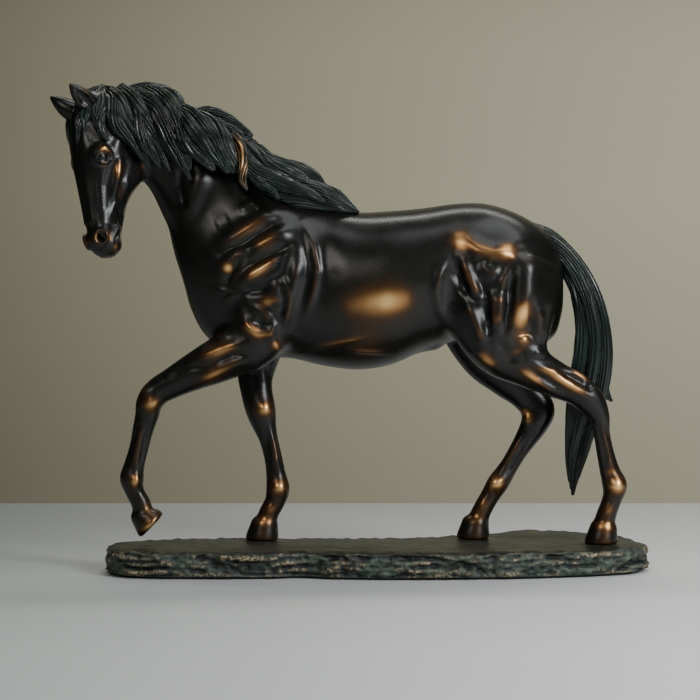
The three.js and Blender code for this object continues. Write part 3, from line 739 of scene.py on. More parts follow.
def islandsAt(mesh, cuts):
    # cuts: point, normal, reach. Opens the skin at each plane and caps both sides.
    whole = bmesh.new()
    whole.from_mesh(mesh)
    whole.faces.ensure_lookup_table()
    seams = []
    for point, normal, reach in cuts:
        centres = np.array([f.calc_center_median() for f in whole.faces]) / mm
        close = np.nonzero(((centres - point) ** 2).sum(1) < reach**2)[0]
        whole.faces.ensure_lookup_table()
        faces = [whole.faces[i] for i in close]
        corners, sides = {v for f in faces for v in f.verts}, {e for f in faces for e in f.edges}
        geometry = list(corners) + list(sides) + faces
        at = [v * mm for v in point]
        made = bmesh.ops.bisect_plane(whole, geom=geometry, plane_co=at, plane_no=normal, dist=1e-7)
        seams += [e for e in made["geom_cut"] if isinstance(e, bmesh.types.BMEdge)]
    bmesh.ops.split_edges(whole, edges=seams)
    rims = [e for e in whole.edges if e.is_boundary]
    for e in rims:
        e.smooth = False
    bmesh.ops.holes_fill(whole, edges=rims, sides=0)
    bmesh.ops.triangulate(whole, faces=[f for f in whole.faces if len(f.verts) > 4])
    whole.verts.index_update()
    whole.verts.ensure_lookup_table()
    seen = np.zeros(len(whole.verts), bool)
    islands = []
    for start in whole.verts:
        if seen[start.index]:
            continue
        seen[start.index] = True
        stack, group = [start], []
        while stack:
            v = stack.pop()
            group.append(v.index)
            for e in v.link_edges:
                other = e.other_vert(v)
                if not seen[other.index]:
                    seen[other.index] = True
                    stack.append(other)
        islands.append(group)
    made = bpy.data.meshes.new("islands")
    whole.to_mesh(made)
    whole.free()
    return made, [g for g in islands if len(g) > 200]


def islandMesh(name, source, group, material):
    keep = bmesh.new()
    keep.from_mesh(source)
    mine = set(group)
    bmesh.ops.delete(keep, geom=[v for v in keep.verts if v.index not in mine], context="VERTS")
    mesh = bpy.data.meshes.new(name)
    keep.to_mesh(mesh)
    keep.free()
    mesh.materials.clear()
    mesh.materials.append(material)
    return mesh


bodyRubAndGlow, bodyHollow = wearAndGlowOf(bodyPoints, bodyQuads, links, rubAndGlowLines)
bodyMesh = pieceMesh("body", bodyPoints, bodyQuads, bodyBronze, {"rub": bodyRubAndGlow, "hollow": bodyHollow})
cuts = [(*neckCut, 75), (*headCut, 55)]
for name, rows in legs.items():
    here, below = (np.array(rows[cutStation[name] + i][:3]) for i in (0, 1))
    cuts.append((tuple(here), tuple(unit(below - here)), 26))
parted, islands = islandsAt(bodyMesh, cuts)
parts = pointsOf(parted)
landmarks = {"trunk_casting": (0, 0, 251), "neck_casting": (-135, 0, 310), "head_stub": (-197, -14, 300)}
landmarks.update({name: hooves[name][:3] for name in legs})
for group in islands:
    middle = parts[group]
    name = min(landmarks, key=lambda n: np.linalg.norm(middle - landmarks[n], axis=1).min())
    if name == "head_stub":
        continue  # the head is modelled finer below
    mesh = islandMesh(name + "_mesh", parted, group, bodyBronze)
    finished(name.replace("_casting", "") + "_bronze", mesh, "body_bronze", name)
print("body parted at its seams:", len(islands))

headRubAndGlow, headHollow = wearAndGlowOf(headPoints, headQuads, headLinks, headRubAndGlowLines)
headValues = {"rub": headRubAndGlow, "hollow": headHollow}
headWorld = pieceMesh("head", toWorld(headPoints), headQuads, bodyBronze, headValues)
headParted, headIslands = islandsAt(headWorld, [(*headCut, 60)])
headParts = pointsOf(headParted)
face = min(headIslands, key=lambda g: headParts[g, 0].min())
headMesh = islandMesh("head_mesh", headParted, face, bodyBronze)
finished("head_bronze", headMesh, "body_bronze", "head_casting")
print("head parted from the neck")

# guide lines of x, y, z, radius for the locks of each casting
hairLines = {
    "forelock_casting": [
        [(-193, -6, 335, 3), (-197, -12, 331, 4.5), (-201, -22, 322, 5), (-203, -29, 313, 4.5),
         (-204, -32, 303, 3), (-204, -33, 295, 1)],
        [(-194, -4, 334, 3), (-201, -4, 330, 5), (-207, -8, 323, 5.5), (-211, -13, 313, 4.5),
         (-211, -18, 302, 2.6), (-209, -22, 293, 1)],
        [(-188, -12, 335, 3), (-189, -22, 328, 5), (-191, -30, 319, 5.5), (-190, -35, 311, 4.5),
         (-187, -37, 304, 3), (-183, -37, 299, 1)],
        [(-190, -8, 337, 3), (-193, -18, 328, 5), (-198, -27, 318, 5.5), (-199, -32, 308, 4),
         (-197, -35, 300, 2.4), (-193, -37, 295, 1)],
    ],
    "mane_front_casting": [
        [(-184, -10, 334, 4), (-178, -20, 328, 6), (-173, -25, 318, 6.5), (-168, -27, 307, 6),
         (-163, -27, 296, 4.5), (-159, -25, 286, 2.6), (-156, -24, 280, 1)],
        [(-188, -8, 335, 4), (-183, -18, 330, 6), (-181, -27, 320, 6.5), (-178, -31, 310, 5.5),
         (-172, -32, 302, 4), (-166, -31, 295, 2.4), (-160, -29, 286, 1)],
        [(-177, -8, 335, 5), (-168, -18, 328, 7), (-161, -23, 318, 7.5), (-156, -25, 307, 6.5),
         (-152, -25, 296, 5), (-147, -25, 286, 3), (-142, -25, 278, 1)],
        [(-169, -6, 334, 5), (-159, -15, 328, 7.5), (-151, -21, 321, 8), (-146, -25, 310, 7.5),
         (-142, -27, 298, 6.5), (-136, -28, 287, 4.5), (-131, -28, 279, 2.6), (-128, -27, 272, 1)],
        [(-161, -4, 335, 5), (-150, -12, 330.5, 7.5), (-143, -19, 324, 8), (-139, -24, 313, 7),
         (-136, -27, 300, 5.5), (-131, -28, 290, 4), (-128, -28, 279, 1.2)],
        [(-185, 2, 333, 5), (-174, 0, 331.5, 7), (-162, -2, 332.5, 8.5), (-151, -4, 330, 8.5),
         (-142, -7, 328, 7), (-135, -10, 321, 5), (-128, -12, 315, 1.5)],
        [(-183, 8, 330, 5), (-170, 9, 330, 7), (-157, 9, 329, 8), (-146, 8, 326, 7), (-138, 8, 318, 5),
         (-131, 8, 309, 1.5)],
        [(-172, -16, 331, 4), (-165, -25, 320, 5), (-162, -29, 308, 5), (-158, -30, 297, 4),
         (-153, -29, 288, 2.6), (-149, -27, 280, 1)],
    ],
    "mane_middle_casting": [
        [(-145, -8, 327, 4), (-138, -18, 318, 6.5), (-129, -24, 309, 7.5), (-120, -27, 300, 7),
         (-113, -29, 291, 5.5), (-106, -30, 284, 3.4), (-101, -30, 277, 1)],
        [(-140, -6, 324, 4), (-129, -15, 317, 6.5), (-120, -21, 309, 7.5), (-112, -25, 300, 7),
         (-107, -28, 291, 5.5), (-102, -30, 284, 3.4), (-98, -30, 277, 1)],
        [(-133, -4, 319, 4), (-123, -11, 315, 6), (-113, -17, 309, 7), (-105, -21, 301, 6.5),
         (-101, -24, 293, 5), (-98, -27, 284, 3), (-97, -28, 277, 1)],
        [(-146, -14, 320, 4), (-140, -23, 310, 6), (-133, -27, 300, 6.5), (-125, -29, 292, 5.5),
         (-117, -30, 285, 4), (-111, -30, 279, 1.2)],
        [(-104, -14, 305, 3), (-97, -20, 299, 4.5), (-93, -25, 291, 4.4), (-91, -28, 282, 3.8),
         (-92, -30, 273, 2.6), (-89, -31, 265, 0.9)],
    ],
    "mane_crest_casting": [
        [(-134, -2, 320, 4), (-125, -2, 317, 6), (-116, -2, 317, 7), (-106, -3, 313, 6.5),
         (-97, -4, 308, 5), (-90, -5, 305, 3.6), (-86, -6, 303, 1.5)],
        [(-131, -8, 316, 4), (-120, -11, 313, 6), (-109, -13, 308, 6.5), (-99, -14, 303, 5.5),
         (-92, -13, 300, 4), (-86, -11, 301, 1.5)],
        [(-138, 6, 320, 4), (-126, 8, 316, 6.5), (-114, 9, 313, 7), (-103, 9, 307, 6), (-93, 8, 301, 4),
         (-86, 7, 296, 1.5)],
    ],
    "mane_rear_casting": [
        [(-100, -8, 303, 4), (-92, -12, 296, 6), (-85, -14, 289, 6.5), (-77, -15, 284, 6.5),
         (-65, -15, 280, 6), (-54, -14, 275, 4.5), (-45, -13, 270, 1.5)],
        [(-96, -16, 295, 3.5), (-89, -21, 285, 6), (-81, -23, 277, 6.5), (-71, -23, 272, 6),
         (-60, -22, 268, 5), (-47, -20, 264, 3.6), (-35, -18, 257, 1.2)],
        [(-92, -4, 300, 4), (-84, -4, 293, 6), (-75, -5, 286, 6.5), (-64, -6, 281, 7), (-53, -7, 278, 7),
         (-44, -8, 274, 5.5), (-37, -9, 268, 2.6), (-34, -10, 264, 1)],
        [(-79, -10, 280, 4), (-67, -13, 274, 6), (-54, -14, 270, 6.5), (-42, -14, 266, 6),
         (-31, -13, 261, 4.5), (-21, -11, 255, 2.6), (-13, -9, 250, 1)],
        [(-56, -4, 274, 4), (-45, -5, 270, 6), (-35, -6, 264, 6), (-27, -7, 259, 5), (-19, -7, 254, 2.8),
         (-12, -7, 250, 1)],
        [(-95, 6, 298, 4), (-84, 8, 290, 6.5), (-72, 9, 282, 7), (-58, 9, 276, 6.5), (-44, 8, 268, 5),
         (-31, 6, 259, 3), (-20, 4, 252, 1)],
        [(-84, -12, 270, 4), (-68, -16, 264, 5.6), (-53, -15, 260, 5.6), (-39, -13, 256.5, 5.2),
         (-26, -11, 253.5, 3.6), (-13, -8, 250, 1)],
        [(-90, -24, 280, 2), (-83, -27, 273, 3.4), (-76, -28, 268, 3.2), (-71, -30, 264, 2),
         (-67, -31, 259, 0.8)],
    ],
    "tail_casting": [
        [(108, 3, 236, 4), (120, 3, 229, 5.5), (131, 3, 218, 5.5), (141, 4, 203, 5.5), (147, 4, 187, 6),
         (150, 4, 168, 6.5), (150, 4, 148, 7), (147, 4, 127, 7), (144, 5, 106, 6.5), (142, 5, 86, 5),
         (140, 6, 67, 3.4), (138.5, 6, 51, 1)],
        [(106, 1, 239, 4), (120, 1, 233, 5.5), (133, 0, 222, 5.5), (144, -1, 206, 6), (152, -2, 188, 6),
         (157, -2, 168, 6), (159, -1, 149, 6), (158, 0, 131, 5.5), (154, 1, 112, 5), (149, 3, 92, 4),
         (144, 5, 73, 2.6), (140, 6, 57, 1)],
        [(108, 6, 239, 4), (122, 7, 232, 5.5), (135, 8, 220, 5.5), (145, 9, 204, 6), (152, 10, 186, 6),
         (157, 10, 166, 6), (158, 10, 150, 5.5), (159, 9, 136, 4.5), (161, 8, 124, 3.2),
         (166, 7, 117, 0.8)],
        [(110, 9, 234, 4), (122, 11, 225, 5.5), (133, 12, 213, 6), (142, 13, 196, 6.5), (147, 14, 176, 7),
         (149, 14, 156, 7.5), (147, 13, 136, 8), (143, 12, 114, 8), (140, 11, 92, 6.5),
         (139, 10, 73, 4.5), (138, 8, 55, 1.2)],
        [(120, -3, 229, 3), (133, -4, 216, 3.6), (143, -5, 200, 4), (149, -6, 182, 4.2),
         (152, -6, 162, 4.4), (151, -6, 142, 4.4), (147, -5, 121, 4.2), (142, -4, 100, 3.8),
         (138, -2, 80, 2.8), (137, 2, 61, 1)],
        [(126, 0, 221, 3), (135, -1, 208, 3.8), (141, -2, 191, 4.2), (144, -3, 171, 4.4),
         (143, -3, 151, 4.6), (140, -3, 131, 4.6), (137, -2, 110, 4.4), (136, 0, 89, 3.6),
         (136, 3, 70, 2.4), (138, 5, 54, 0.8)],
        [(133, 1, 223, 3), (146, 1, 207, 3.8), (155, 1, 188, 4), (160, 1, 168, 4), (161.5, 1, 150, 4),
         (158.5, 2, 136, 3.6), (160, 3, 126, 2.8), (164, 4, 119, 0.8)],
    ],
}
hairLook = {
    "around": 132, "steps": 9, "grooves": 14, "thinGrooves": 8, "depth": 0.80, "slim": 0.86,
    "strands": 11, "strandRadius": 0.36, "strandSides": 6, "strandPoints": 26,
    "copperLock": ("mane_middle_casting", 5),  # the casting, and which of its locks is copper
}


def groovedLock(rows, dice):
    grooves = hairLook["grooves"] if max(r[3] for r in rows) > 4.6 else hairLook["thinGrooves"]
    slim = hairLook["slim"]
    sized = [(x, y, z, r * slim, r * slim * 0.9) for x, y, z, r in rows]
    path = smoothRows(sized, hairLook["steps"])
    rings = ringsOf(sized, around=hairLook["around"], steps=hairLook["steps"])
    middle = path[:, None, :3]
    out = rings - middle
    radius = np.linalg.norm(out, axis=-1)
    angle = np.linspace(0, 2 * math.pi, hairLook["around"], endpoint=False)[None]
    v = np.linspace(0, 1, len(path))[:, None]
    a, b, c, d = dice.uniform(0, 6.28, 4)
    flow = angle + 0.22 * np.sin(2 * angle + a) + 0.5 * np.sin(4.4 * v + b)
    flow = flow + 0.12 * np.sin(11 * v + c + angle)
    deep = np.abs(np.cos(grooves / 2 * flow)) ** 0.75
    fine = np.abs(np.cos(grooves * 1.5 * flow + 1.6 * np.sin(5 * v + d)))
    size = np.clip(radius / 4.5, 0.12, 1)
    lift = hairLook["depth"] * size * (1.8 * deep - 1.2) + 0.26 * size * fine
    lift = lift + 0.7 * size * np.sin(2 * angle + 6 * v + d)
    rings = rings + unit(out) * lift[..., None]
    wave = (0.9 * np.sin(9 * v + a) * np.sin(np.pi * v))[..., None] * np.array([0.5, 1, 0.4])
    return rings + wave, deep, path


def joined(skins):
    points, faces, start = [], [], 0
    for p, f in skins:
        points.append(p)
        faces += [tuple(int(i) + start for i in face) for face in f]
        start += len(p)
    return np.vstack(points), faces


# fine strands follow the locks: the tree sweeps a small round along each line
def strandTree(material):
    tree = bpy.data.node_groups.new("hairStrands", "GeometryNodeTree")
    tree.interface.new_socket("Geometry", in_out="INPUT", socket_type="NodeSocketGeometry")
    radius = tree.interface.new_socket("Strand Radius", in_out="INPUT", socket_type="NodeSocketFloat")
    sides = tree.interface.new_socket("Sides", in_out="INPUT", socket_type="NodeSocketInt")
    tree.interface.new_socket("Geometry", in_out="OUTPUT", socket_type="NodeSocketGeometry")
    source, result = tree.nodes.new("NodeGroupInput"), tree.nodes.new("NodeGroupOutput")
    kinds = (
        "MeshToCurve", "InputNamedAttribute", "SetCurveRadius", "CurvePrimitiveCircle", "CurveToMesh",
        "SetShadeSmooth", "RealizeInstances", "SetMaterial",
    )
    nodes = [tree.nodes.new("GeometryNode" + kind) for kind in kinds]
    lines, taper, thick, section, sweep, smooth, whole, dressed = nodes
    taper.data_type = "FLOAT"
    taper.inputs["Name"].default_value = "taper"
    sweep.inputs["Fill Caps"].default_value = True
    dressed.inputs["Material"].default_value = material
    for a, b in (
        (source.outputs["Geometry"], lines.inputs["Mesh"]),
        (lines.outputs["Curve"], thick.inputs["Curve"]),
        (taper.outputs["Attribute"], thick.inputs["Radius"]),
        (source.outputs["Strand Radius"], section.inputs["Radius"]),
        (source.outputs["Sides"], section.inputs["Resolution"]),
        (thick.outputs["Curve"], sweep.inputs["Curve"]),
        (section.outputs["Curve"], sweep.inputs["Profile Curve"]),
        (sweep.outputs["Mesh"], smooth.inputs["Geometry"]),
        (smooth.outputs["Geometry"], whole.inputs["Geometry"]),
        (whole.outputs["Geometry"], dressed.inputs["Geometry"]),
        (dressed.outputs["Geometry"], result.inputs["Geometry"]),
    ):
        tree.links.new(a, b)
    return tree, radius.identifier, sides.identifier


strandNodes, strandRadiusId, strandSidesId = strandTree(hairBronze)


def strandsAlong(name, paths):
    points = np.vstack([p[:, :3] for p in paths])
    taper = np.concatenate([p[:, 3] for p in paths])
    edges, start = [], 0
    for p in paths:
        edges += [(start + i, start + i + 1) for i in range(len(p) - 1)]
        start += len(p)
    mesh = bpy.data.meshes.new(name)
    mesh.from_pydata((points * mm).tolist(), edges, [])
    mesh.attributes.new("taper", "FLOAT", "POINT").data.foreach_set("value", taper.astype(np.float32))
    thing = bpy.data.objects.new(name, mesh)
    bpy.context.collection.objects.link(thing)
    nodes = thing.modifiers.new("strands", "NODES")
    nodes.node_group = strandNodes
    nodes[strandRadiusId] = hairLook["strandRadius"] * mm
    nodes[strandSidesId] = hairLook["strandSides"]
    made = bpy.data.meshes.new_from_object(thing.evaluated_get(bpy.context.evaluated_depsgraph_get()))
    bpy.data.objects.remove(thing)
    return made


for number, (node, lines) in enumerate(hairLines.items()):
    dice = np.random.default_rng(100 + number)
    skins, rubs, hollows, paths = [], [], [], []
    for rows in lines:
        rings, deep, path = groovedLock(rows, dice)
        points, quads, fans = closedTube(rings)
        skins.append((points, quads.tolist() + fans.tolist()))
        shade = np.r_[deep.ravel(), 0.6, 0.6]
        copper = 0.6 if (node, len(skins)) == hairLook["copperLock"] else 0.0
        glow = np.sin(np.pi * np.linspace(0, 1, len(path))) ** 0.7
        glow = np.r_[np.repeat(glow, hairLook["around"]), 0, 0]
        crests = 0.16 * np.clip((shade - 0.90) / 0.10, 0, 1)
        rubs.append(crests + copper * glow * np.clip((shade - 0.5) / 0.5, 0, 1))
        hollows.append(np.clip((0.62 - shade) / 0.5, 0, 1))
        for _ in range(hairLook["strands"]):
            turn, drift = dice.uniform(0, 6.28), dice.uniform(-0.9, 0.9)
            first = dice.uniform(0, 0.3)
            u = np.linspace(first, dice.uniform(0.85, 1), hairLook["strandPoints"])
            at = np.clip((u * (len(path) - 1)).astype(int), 0, len(path) - 1)
            around = (turn + drift * u + 0.25 * np.sin(6 * u + turn)) / 6.283 * hairLook["around"]
            around = around % hairLook["around"]
            low = around.astype(int)
            part = (around - low)[:, None]
            line = rings[at, low] * (1 - part) + rings[at, (low + 1) % hairLook["around"]] * part
            middle = path[at, :3]
            line = line + unit(line - middle) * 0.12
            line[1:-1] = (line[:-2] + 2 * line[1:-1] + line[2:]) / 4
            taper = np.sin(np.pi * np.linspace(0.04, 0.97, len(u))) ** 0.5
            paths.append(np.c_[line, taper])
    points, faces = joined(skins)
    values = {"rub": np.concatenate(rubs), "hollow": np.concatenate(hollows)}
    mesh = pieceMesh(node + "_mesh", points, faces, hairBronze, values)
    strands = strandsAlong(node + "_strands", paths)
    both = bmesh.new()
    both.from_mesh(mesh)
    both.from_mesh(strands)
    both.to_mesh(mesh)
    both.free()
    finished(node.replace("_casting", "") + "_bronze", mesh, "hair_bronze", node)
    print("hair:", node, len(mesh.polygons))

# the base is a layered rock slab with a brushed top
rock = {
    "bottom": 1.5, "top": 19.0, "wall": 6.0, "plate": 7.0, "rearRise": 3.0, "studHole": 2.9,
    "beds": [3.4, 6.8, 8.6, 12.4, 16.0],  # heights where the layers meet
    "low": (-197, -72, -2), "high": (197, 62, 27), "voxel": 1.0, "band": 6.0,
}
outline = [
    (-187, -12), (-185, -33), (-174, -49), (-154, -57), (-126, -59), (-96, -59), (-70, -58), (-56, -54),
    (-45, -55), (-34, -60), (-14, -62), (10, -64), (40, -63), (72, -61), (105, -57), (135, -50),
    (160, -42), (180, -30), (188, -14), (188, 4), (180, 20), (165, 34), (145, 45), (115, 52), (80, 51),
    (55, 42), (30, 33), (0, 30), (-30, 31), (-60, 29), (-90, 27), (-120, 26), (-150, 22), (-173, 12),
    (-184, 0),
]


def cloudNoise(points, size, seed):
    # smooth value noise from 0 to 1 with a cell of the given size on each axis
    lattice = np.random.default_rng(seed).random((32, 32, 32)).astype(np.float32)
    at = points / np.array(size, np.float32)
    cell = np.floor(at).astype(int)
    part = at - cell
    part = part * part * (3 - 2 * part)
    total = 0
    for corner in range(8):
        step = np.array([corner & 1, corner >> 1 & 1, corner >> 2 & 1])
        index = (cell + step) % 32
        weight = np.prod(np.where(step, part, 1 - part), -1)
        total = total + weight * lattice[index[..., 0], index[..., 1], index[..., 2]]
    return total


def swell(points, height, size, seed):
    # the same noise, shifted to rise and fall about nought
    return height * (cloudNoise(points, size, seed) - 0.5)


def edgeDistance(flat, loop):
    # signed distance to a closed outline, negative inside
    best = np.full(flat.shape[:-1], 1e9)
    inside = np.zeros(flat.shape[:-1], bool)
    for a, b in zip(loop, np.roll(loop, -1, axis=0)):
        run = b - a
        t = np.clip(((flat - a) @ run) / (run @ run), 0, 1)
        best = np.minimum(best, np.linalg.norm(flat - a - t[..., None] * run, axis=-1))
        crosses = (a[1] > flat[..., 1]) != (b[1] > flat[..., 1])
        rise = run[1] if run[1] else 1e-9
        inside ^= crosses & (flat[..., 0] < a[0] + (flat[..., 1] - a[1]) * run[0] / rise)
    return np.where(inside, -best, best)


def makeBase():
    step, band = rock["voxel"], rock["band"]
    ring = np.vstack([outline, outline[:1]])
    loop = smoothRows(np.c_[ring, np.zeros(len(ring))], 4)[:-1, :2]
    xs, ys, zs = (np.arange(low, high, step) for low, high in zip(rock["low"], rock["high"]))
    flat = np.stack(np.meshgrid(xs, ys, indexing="ij"), -1)
    x, y = flat[..., 0], flat[..., 1]
    side = edgeDistance(flat, loop)
    rise = rock["rearRise"] / (1 + np.exp(-(y - 24) / 3.0)) / (1 + np.exp(-(x - 92) / 5.0))
    top = rock["top"] - 0.4 + rise - 1.3 * np.clip((side + 8) / 8, 0, 1) ** 2
    stands = [hooves[name][:2] for name in ("right_foreleg", "left_hindleg", "right_hindleg")]
    for hx, hy in stands:
        top = top + 0.9 * np.exp(-(((np.hypot(x - hx, y - hy) - 11) / 3.2) ** 2))
    side, top, z = side[..., None], top[..., None], zs[None, None]
    solid = np.maximum(np.maximum(side, z - top), rock["bottom"] - z)
    hollow = np.maximum(side + rock["wall"] + 1, z - (rock["top"] - rock["plate"]))
    for hx, hy in stands:
        hollow = np.minimum(hollow, np.hypot(x - hx, y - hy)[..., None] - rock["studHole"] + 0 * z)
    solid = np.maximum(solid, -hollow)
    grid = vdb.FloatGrid(band)
    grid.copyFromArray(np.clip(solid, -band, band).astype(np.float32))
    points, quads = grid.convertToQuads(0.0)
    points = points.astype(float) * step + np.array([xs[0], ys[0], zs[0]])
    quads = quads.astype(int)
    if signedVolume(points, quads) < 0:
        quads = quads[:, ::-1]
    return points, quads, edgeDistance(points[:, :2], loop)


def tornLayers(points):
    # how far the layered edge stands out at each point
    beds = rock["beds"]
    height = points[:, 2] + swell(points, 3.2, (40, 34, 900), 11) + swell(points, 1.6, (9, 9, 900), 12)
    bed = np.searchsorted(beds, height)
    shift = np.stack([cloudNoise(points + 97 * b, (21, 17, 900), 20 + b) for b in range(len(beds) + 1)])
    stand = 4.6 * (shift[bed, np.arange(len(points))] - 0.5)
    crack = np.min([np.abs(height - b) for b in beds], axis=0)
    gaping = np.clip(2.2 * cloudNoise(points, (12, 12, 5), 14) - 0.5, 0, 1)
    stand = stand - 1.5 * gaping * np.exp(-((crack / 0.8) ** 2))
    chips = np.clip(cloudNoise(points, (10, 9, 5), 6) - 0.58, 0, 1) * 9
    rough = swell(points, 2.6, (4.4, 4.4, 2.4), 4) + swell(points, 1.5, (2.2, 2.2, 1.5), 5)
    return stand - chips + rough + 0.6


rockLook = {
    "greens": ((0.010, 0.016, 0.013), (0.022, 0.036, 0.028), (0.045, 0.062, 0.050)),
    "verdigris": (0.085, 0.125, 0.092),
    "gold": (0.58, 0.45, 0.27),
    "hollow": (0.006, 0.009, 0.007),
    "brushed": (0.046, 0.047, 0.038),
}


def rockMaterial():
    material, tree, shader = newMaterial("rockPatina")
    place = objectCoords(tree)
    rub, hollow = attributeOf(tree, "rub"), attributeOf(tree, "hollow")
    cloud, mid, grain = (noiseAt(tree, place, *size) for size in ((30, 4), (110, 4), (600, 3)))
    colour = rampOf(tree, cloud, list(zip((0.3, 0.5, 0.7), rockLook["greens"])))
    patch = noiseAt(tree, place, 55, 5, 0.65)
    pale, here = rangeOf(tree, mid, 0.46, 0.62, 0, 0.85), rangeOf(tree, patch, 0.48, 0.62, 0, 1)
    pale = mathOf(tree, "MULTIPLY", pale, here)
    pale = mathOf(tree, "MULTIPLY", pale, attributeOf(tree, "side"))
    colour = mixOf(tree, pale, colour, rockLook["verdigris"])
    gold = mathOf(tree, "MULTIPLY", rangeOf(tree, grain, 0.42, 0.56, 0, 1), rub)
    gold = mathOf(tree, "MULTIPLY", gold, rangeOf(tree, patch, 0.56, 0.44, 0.15, 1), True)
    colour = mixOf(tree, gold, colour, rockLook["gold"])
    colour = mixOf(tree, rangeOf(tree, hollow, 0.05, 0.6, 0, 0.92), colour, rockLook["hollow"])
    brushed = mathOf(tree, "MULTIPLY", attributeOf(tree, "top"), rangeOf(tree, cloud, 0.35, 0.65, 0.5, 1))
    colour = mixOf(tree, brushed, colour, rockLook["brushed"])
    tree.links.new(colour, shader.inputs["Base Color"])
    bare = mathOf(tree, "MAXIMUM", brushed, gold)
    tree.links.new(rangeOf(tree, bare, 0, 1, 0.05, 0.8), shader.inputs["Metallic"])
    tree.links.new(rangeOf(tree, brushed, 0, 1, 0.60, 0.38), shader.inputs["Roughness"])
    fine = bumpOf(tree, grain, 0.35, 0.0006)
    tree.links.new(bumpOf(tree, mid, 0.35, 0.0014, fine), shader.inputs["Normal"])
    return material


basePoints, baseQuads, baseEdge = makeBase()
baseLinks = linksOf(baseQuads)
baseNormals = normalsOf(basePoints, baseQuads)
outer = np.clip((baseEdge + 3) / 2.0, 0, 1) * np.clip((basePoints[:, 2] - 1.0) / 1.5, 0, 1)
onTop = np.clip((baseNormals[:, 2] - 0.4) / 0.4, 0, 1) * (basePoints[:, 2] > 14)
sideways = unit(baseNormals * np.array([1, 1, 0.001])) * (1 - np.abs(baseNormals[:, 2:3]))
basePoints = basePoints + sideways * (outer * tornLayers(basePoints))[:, None]
bumps = swell(basePoints, 0.9, (30, 18, 900), 7) + swell(basePoints, 0.5, (8, 5, 900), 8)
pits = swell(basePoints, 1.6, (5, 5, 900), 9) * np.clip((baseEdge + 12) / 9, 0, 1)
basePoints[:, 2] += onTop * (bumps + pits)
baseRub, baseHollow = wearAndGlowOf(basePoints, baseQuads, baseLinks)
isTop = relaxed(onTop.astype(float), baseLinks, 3)
isSide = relaxed(outer * (np.abs(baseNormals[:, 2]) < 0.9), baseLinks, 2)
baseRub = np.clip(baseRub * 2.6, 0, 1) * isSide
baseValues = {"rub": baseRub, "hollow": baseHollow, "top": isTop, "side": isSide}
baseMesh = pieceMesh("base_mesh", basePoints, baseQuads, rockMaterial(), baseValues)
finished("base_bronze", baseMesh, "base_bronze", "base_casting")
print("base carved:", len(basePoints), "points")


# felt and fixings keep their plain shapes
def feltMaterial():
    material, tree, shader = newMaterial("darkFelt")
    place = objectCoords(tree)
    fibre = noiseAt(tree, place, 900, 5, 0.7, 0.6)
    colour = rampOf(tree, fibre, [(0.3, (0.010, 0.014, 0.012)), (0.7, (0.035, 0.045, 0.040))])
    tree.links.new(colour, shader.inputs["Base Color"])
    shader.inputs["Roughness"].default_value = 0.95
    shader.inputs["Sheen Weight"].default_value = 0.4
    tree.links.new(bumpOf(tree, fibre, 0.6, 0.0004), shader.inputs["Normal"])
    return material


def zincMaterial():
    material, tree, shader = newMaterial("zincPlate")
    place = objectCoords(tree)
    spangle = noiseAt(tree, place, 240, 3)
    colour = rampOf(tree, spangle, [(0.3, (0.36, 0.36, 0.34)), (0.7, (0.62, 0.62, 0.60))])
    tree.links.new(colour, shader.inputs["Base Color"])
    shader.inputs["Metallic"].default_value = 1.0
    tree.links.new(rangeOf(tree, spangle, 0.3, 0.7, 0.28, 0.46), shader.inputs["Roughness"])
    tree.links.new(bumpOf(tree, noiseAt(tree, place, 1500, 2), 0.15, 0.0002), shader.inputs["Normal"])
    return material


felt, zinc = feltMaterial(), zincMaterial()
for name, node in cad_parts.items():
    look = felt if name == "base_felt" else zinc if name.endswith(("_stud", "_washer", "_nut")) else None
    if look:
        for place in node.material_slots:
            place.link = "OBJECT"
            place.material = look


# stage and light
stage = {  # in metres
    "table": (6, -4, 0.42),  # half width, front edge, back edge
    "wall": (9, 2.7, -3, 6),  # half width, distance, foot, top
}
tableHalf, tableFront, tableEdge = stage["table"]
wallHalf, wallAt, wallFoot, wallTop = stage["wall"]
# painted light and shade on the floor: darker on the left and towards the back
tableLook = {
    "left": (0.42, 0.455, 0.45), "right": (0.98, 1.0, 1.0), "across": (-0.36, 0.34),
    "axis": "Y", "along": (-0.75, tableEdge), "strengths": (1, 1, 0.76, 0.46), "roughness": 0.45,
}
# painted light and shade on the backdrop: darker on the left, a little at the foot and more towards the top
wallLook = {
    "left": (0.20, 0.188, 0.128), "right": (0.74, 0.70, 0.52), "across": (-0.80, 0.80),
    "axis": "Z", "along": (-0.21, 0.72), "strengths": (0.94, 1, 1, 0.86, 0.60), "roughness": 0.9,
}


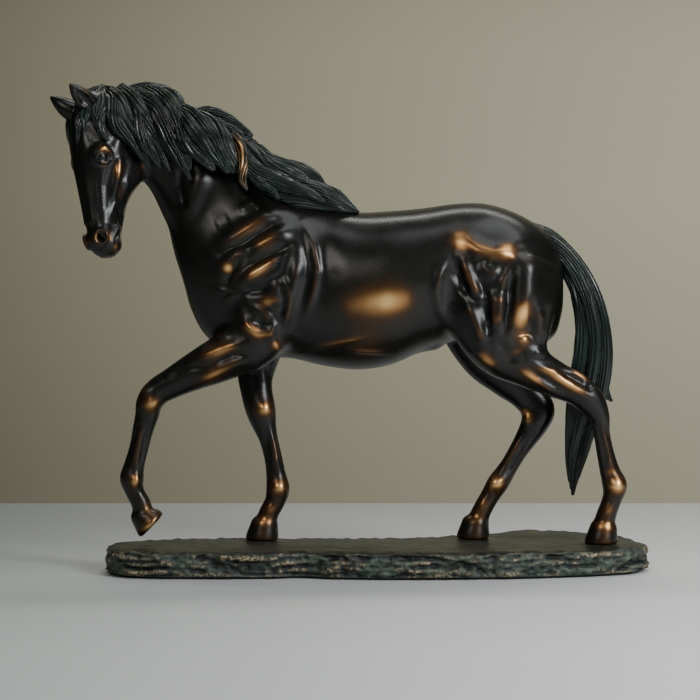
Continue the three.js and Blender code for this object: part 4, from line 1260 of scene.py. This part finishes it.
def stagePiece(name, points, look):
    # painted light and shade: the colour runs from the darker left to the lighter right, times painted shade
    # steps that run along the other axis
    mesh = bpy.data.meshes.new(name)
    mesh.from_pydata(points, [], [(0, 1, 2, 3)])
    material, tree, shader = newMaterial(name + "Look")
    parts = tree.nodes.new("ShaderNodeSeparateXYZ")
    tree.links.new(objectCoords(tree), parts.inputs[0])
    side = mixOf(tree, rangeOf(tree, parts.outputs["X"], *look["across"], 0, 1), look["left"], look["right"])
    stops = [(i / (len(look["strengths"]) - 1), (v, v, v)) for i, v in enumerate(look["strengths"])]
    shade = rampOf(tree, rangeOf(tree, parts.outputs[look["axis"]], *look["along"], 0, 1), stops)
    both = tree.nodes.new("ShaderNodeMix")
    both.data_type, both.blend_type = "RGBA", "MULTIPLY"
    both.inputs["Factor"].default_value = 1
    for socket, value in zip([s for s in both.inputs if s.type == "RGBA"], (side, shade)):
        tree.links.new(value, socket)
    tree.links.new(next(s for s in both.outputs if s.type == "RGBA"), shader.inputs["Base Color"])
    shader.inputs["Roughness"].default_value = look["roughness"]
    shader.inputs["Specular IOR Level"].default_value = 0.2
    mesh.materials.append(material)
    thing = bpy.data.objects.new(name, mesh)
    bpy.context.collection.objects.link(thing)


ends = ((-tableHalf, tableFront), (tableHalf, tableFront), (tableHalf, tableEdge), (-tableHalf, tableEdge))
stagePiece("floor", [(x, y, 0) for x, y in ends], tableLook)
ends = ((-wallHalf, wallFoot), (wallHalf, wallFoot), (wallHalf, wallTop), (-wallHalf, wallTop))
stagePiece("backdrop", [(x, wallAt, z) for x, z in ends], wallLook)

lamps = {  # place, aim, size, power, colour
    "keyLight": ((-0.6, -1.4, 1.0), (0, 0, 0.18), (0.7, 0.5), 5.5, (1, 0.95, 0.88)),
    "topLight": ((0.45, -0.3, 1.5), (0.1, 0, 0.1), (1.0, 0.6), 6.0, (0.97, 0.99, 1)),
    "sideLight": ((1.15, -1.15, 0.85), (0.22, -0.3, 0.02), (0.5, 0.8), 22, (0.96, 0.98, 1)),
    "wallLight": ((0.0, 0.9, 2.2), (0.0, wallAt, 0.2), (2.5, 0.6), 58, (1, 0.99, 0.94)),
}
for name, (place, aim, size, power, colour) in lamps.items():
    light = bpy.data.lights.new(name, "AREA")
    light.shape = "RECTANGLE"
    light.size, light.size_y = size
    light.energy = power
    light.color = colour
    lamp = bpy.data.objects.new(name, light)
    lamp.location = place
    lamp.rotation_euler = (Vector(aim) - Vector(place)).to_track_quat("-Z", "Y").to_euler()
    bpy.context.collection.objects.link(lamp)
world = bpy.data.worlds.new("studio")
bpy.context.scene.world = world
world.use_nodes = True
air = next(n for n in world.node_tree.nodes if n.type == "BACKGROUND")
air.inputs["Color"].default_value = (0.55, 0.57, 0.56, 1)
air.inputs["Strength"].default_value = 0.08
print("stage lit")
